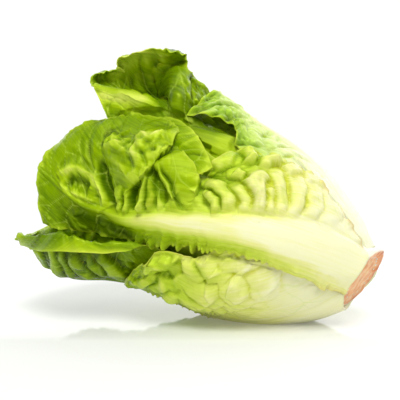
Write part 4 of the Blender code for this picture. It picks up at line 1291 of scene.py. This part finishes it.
class LETTUCE_OT_stage(bpy.types.Operator):
    """Set up the floor, the lights and the camera"""

    bl_idname = "lettuce.stage"
    bl_label = "Stage"

    def execute(self, context):
        stage = context.scene.lettuce_stage
        scene = context.scene
        scene.view_settings.view_transform = "Standard"
        floor_mesh = bpy.data.meshes.new("floor")
        far = 6.0
        floor_mesh.from_pydata([(-far, -far, 0), (far, -far, 0), (far, far, 0), (-far, far, 0)], [], [(0, 1, 2, 3)])
        floor = bpy.data.objects.new("floor", floor_mesh)
        scene.collection.objects.link(floor)
        made = bpy.data.materials.new("white acrylic sheet, polished")
        made.use_nodes = True
        shader = made.node_tree.nodes["Principled BSDF"]
        shader.inputs["Base Color"].default_value = (*stage.floor_colour, 1)
        shader.inputs["Roughness"].default_value = 0.06
        shader.inputs["Emission Color"].default_value = (1, 1, 1, 1)
        shader.inputs["Emission Strength"].default_value = stage.floor_glow
        # the sheet is polished where the head lies: the polish ends a few centimetres in front
        # of it and fades out all round, where the sheet is matt
        sheet = made.node_tree
        place = node(sheet, "ShaderNodeTexCoord").outputs["Object"]
        parts = node(sheet, "ShaderNodeSeparateXYZ", [(0, place)]).outputs
        polish = node(
            sheet, "ShaderNodeMapRange", [(0, parts["Y"])], interpolation_type="SMOOTHSTEP",
            in_1=-0.056, in_2=-0.012, in_3=0.0, in_4=0.5,
        )
        away = node(sheet, "ShaderNodeVectorMath", [(0, place)], operation="LENGTH")
        near = node(
            sheet, "ShaderNodeMapRange", [(0, away.outputs["Value"])], interpolation_type="SMOOTHSTEP",
            in_1=0.1, in_2=0.22, in_3=1.0, in_4=0.0,
        )
        gloss = node(
            sheet, "ShaderNodeMath", [(0, polish.outputs[0]), (1, near.outputs[0])], operation="MULTIPLY"
        )
        sheet.links.new(gloss.outputs[0], shader.inputs["Specular IOR Level"])
        # Painted light: the sheet glows a little more in front of the head, where the head's shade falls on it.
        painted_front_glow = node(
            sheet, "ShaderNodeMapRange", [(0, parts["Y"])], interpolation_type="SMOOTHSTEP",
            in_1=-0.08, in_2=-0.02, in_3=stage.floor_glow + 0.035, in_4=stage.floor_glow,
        )
        sheet.links.new(painted_front_glow.outputs[0], shader.inputs["Emission Strength"])
        floor_mesh.materials.append(made)
        world = bpy.data.worlds.new("studio")
        world.use_nodes = True
        sky = world.node_tree
        sky.nodes["Background"].inputs["Color"].default_value = (1, 1, 1, 1)
        way = node(sky, "ShaderNodeTexCoord").outputs["Generated"]
        parts = node(sky, "ShaderNodeSeparateXYZ", [(0, way)]).outputs
        behind = node(
            sky, "ShaderNodeMapRange", [(0, parts["Y"])], interpolation_type="SMOOTHSTEP",
            in_1=0.0, in_2=0.7, in_3=0.0, in_4=stage.backdrop,
        )
        low = node(
            sky, "ShaderNodeMapRange", [(0, parts["Z"])], interpolation_type="SMOOTHSTEP",
            in_1=0.3, in_2=0.6, in_3=1.0, in_4=0.2,
        )
        wall = node(
            sky, "ShaderNodeMath", [(0, behind.outputs[0]), (1, low.outputs[0])], operation="MULTIPLY"
        )
        above = node(
            sky, "ShaderNodeMapRange", [(0, parts["Z"])], interpolation_type="SMOOTHSTEP",
            in_1=0.2, in_2=1.0, in_3=stage.sky * 0.3, in_4=stage.sky * 2,
        )
        glow = node(sky, "ShaderNodeMath", [(0, wall.outputs[0]), (1, above.outputs[0])], operation="ADD")
        seen = node(sky, "ShaderNodeLightPath").outputs["Is Camera Ray"]
        shown = node(
            sky, "ShaderNodeMix", [(0, seen), (2, glow.outputs[0])], data_type="FLOAT", in_3=1.05
        )
        sky.links.new(shown.outputs[0], sky.nodes["Background"].inputs["Strength"])
        scene.world = world
        target = Vector((2.95, -19.94, 56.17)) * MM
        for name, towards, spread, share in (
            ("key", (0.05, -0.5, 0.9), 34, 1.0),
            ("fill", (-0.2, -1.0, 0.08), 60, 0.28),
            ("back light", (0.5, 0.75, 0.7), 50, 0.25),
        ):
            light = bpy.data.lights.new(name, "SUN")
            light.angle, light.energy = math.radians(spread), stage.key_power * share
            lamp = bpy.data.objects.new(name, light)
            lamp.rotation_euler = Vector(towards).to_track_quat("Z", "Y").to_euler()
            scene.collection.objects.link(lamp)
        camera = bpy.data.objects.new("camera", bpy.data.cameras.new("camera"))
        scene.collection.objects.link(camera)
        camera.data.lens, camera.data.sensor_width = 180, 36
        back = Vector((0, -math.cos(stage.camera_height), math.sin(stage.camera_height)))
        camera.location = target + 0.9 * back
        camera.rotation_euler = (-back).to_track_quat("-Z", "Y").to_euler()
        camera.data.clip_start, camera.data.clip_end = 0.05, 50
        scene.camera = camera
        return {"FINISHED"}


class LETTUCE_PT_panel(bpy.types.Panel):
    """Lists the steps that build the lettuce"""

    bl_label = "Romaine lettuce"
    bl_idname = "LETTUCE_PT_panel"
    bl_space_type = "VIEW_3D"
    bl_region_type = "UI"
    bl_category = "Lettuce"

    def draw(self, context):
        for settings, names in (
            (context.scene.lettuce_leaves, ("blade_thickness", "fold_strength", "roughness")),
            (context.scene.lettuce_stem, ("bundle_count", "bundle_size")),
            (context.scene.lettuce_stage, ("floor_colour", "camera_height", "floor_glow", "key_power", "sky", "backdrop")),
        ):
            for name in names:
                self.layout.prop(settings, name)
        for operator in STEPS:
            self.layout.operator(operator.bl_idname)


SETTINGS = {
    "lettuce_leaves": LettuceLeafSettings,
    "lettuce_stem": LettuceStemSettings,
    "lettuce_stage": LettuceStageSettings,
}
STEPS = (LETTUCE_OT_outer, LETTUCE_OT_second, LETTUCE_OT_heart, LETTUCE_OT_stem, LETTUCE_OT_stage)
CLASSES = (*SETTINGS.values(), *STEPS, LETTUCE_PT_panel)


def register():
    for one in CLASSES:
        bpy.utils.register_class(one)
    for name, group in SETTINGS.items():
        setattr(bpy.types.Scene, name, bpy.props.PointerProperty(type=group))


def unregister():
    for name in SETTINGS:
        delattr(bpy.types.Scene, name)
    for one in reversed(CLASSES):
        bpy.utils.unregister_class(one)


def main():
    register()
    bpy.ops.lettuce.outer_leaves()
    bpy.ops.lettuce.second_leaves()
    bpy.ops.lettuce.heart_leaves()
    bpy.ops.lettuce.stem()
    bpy.ops.lettuce.stage()


if __name__ == "__main__":
    main()
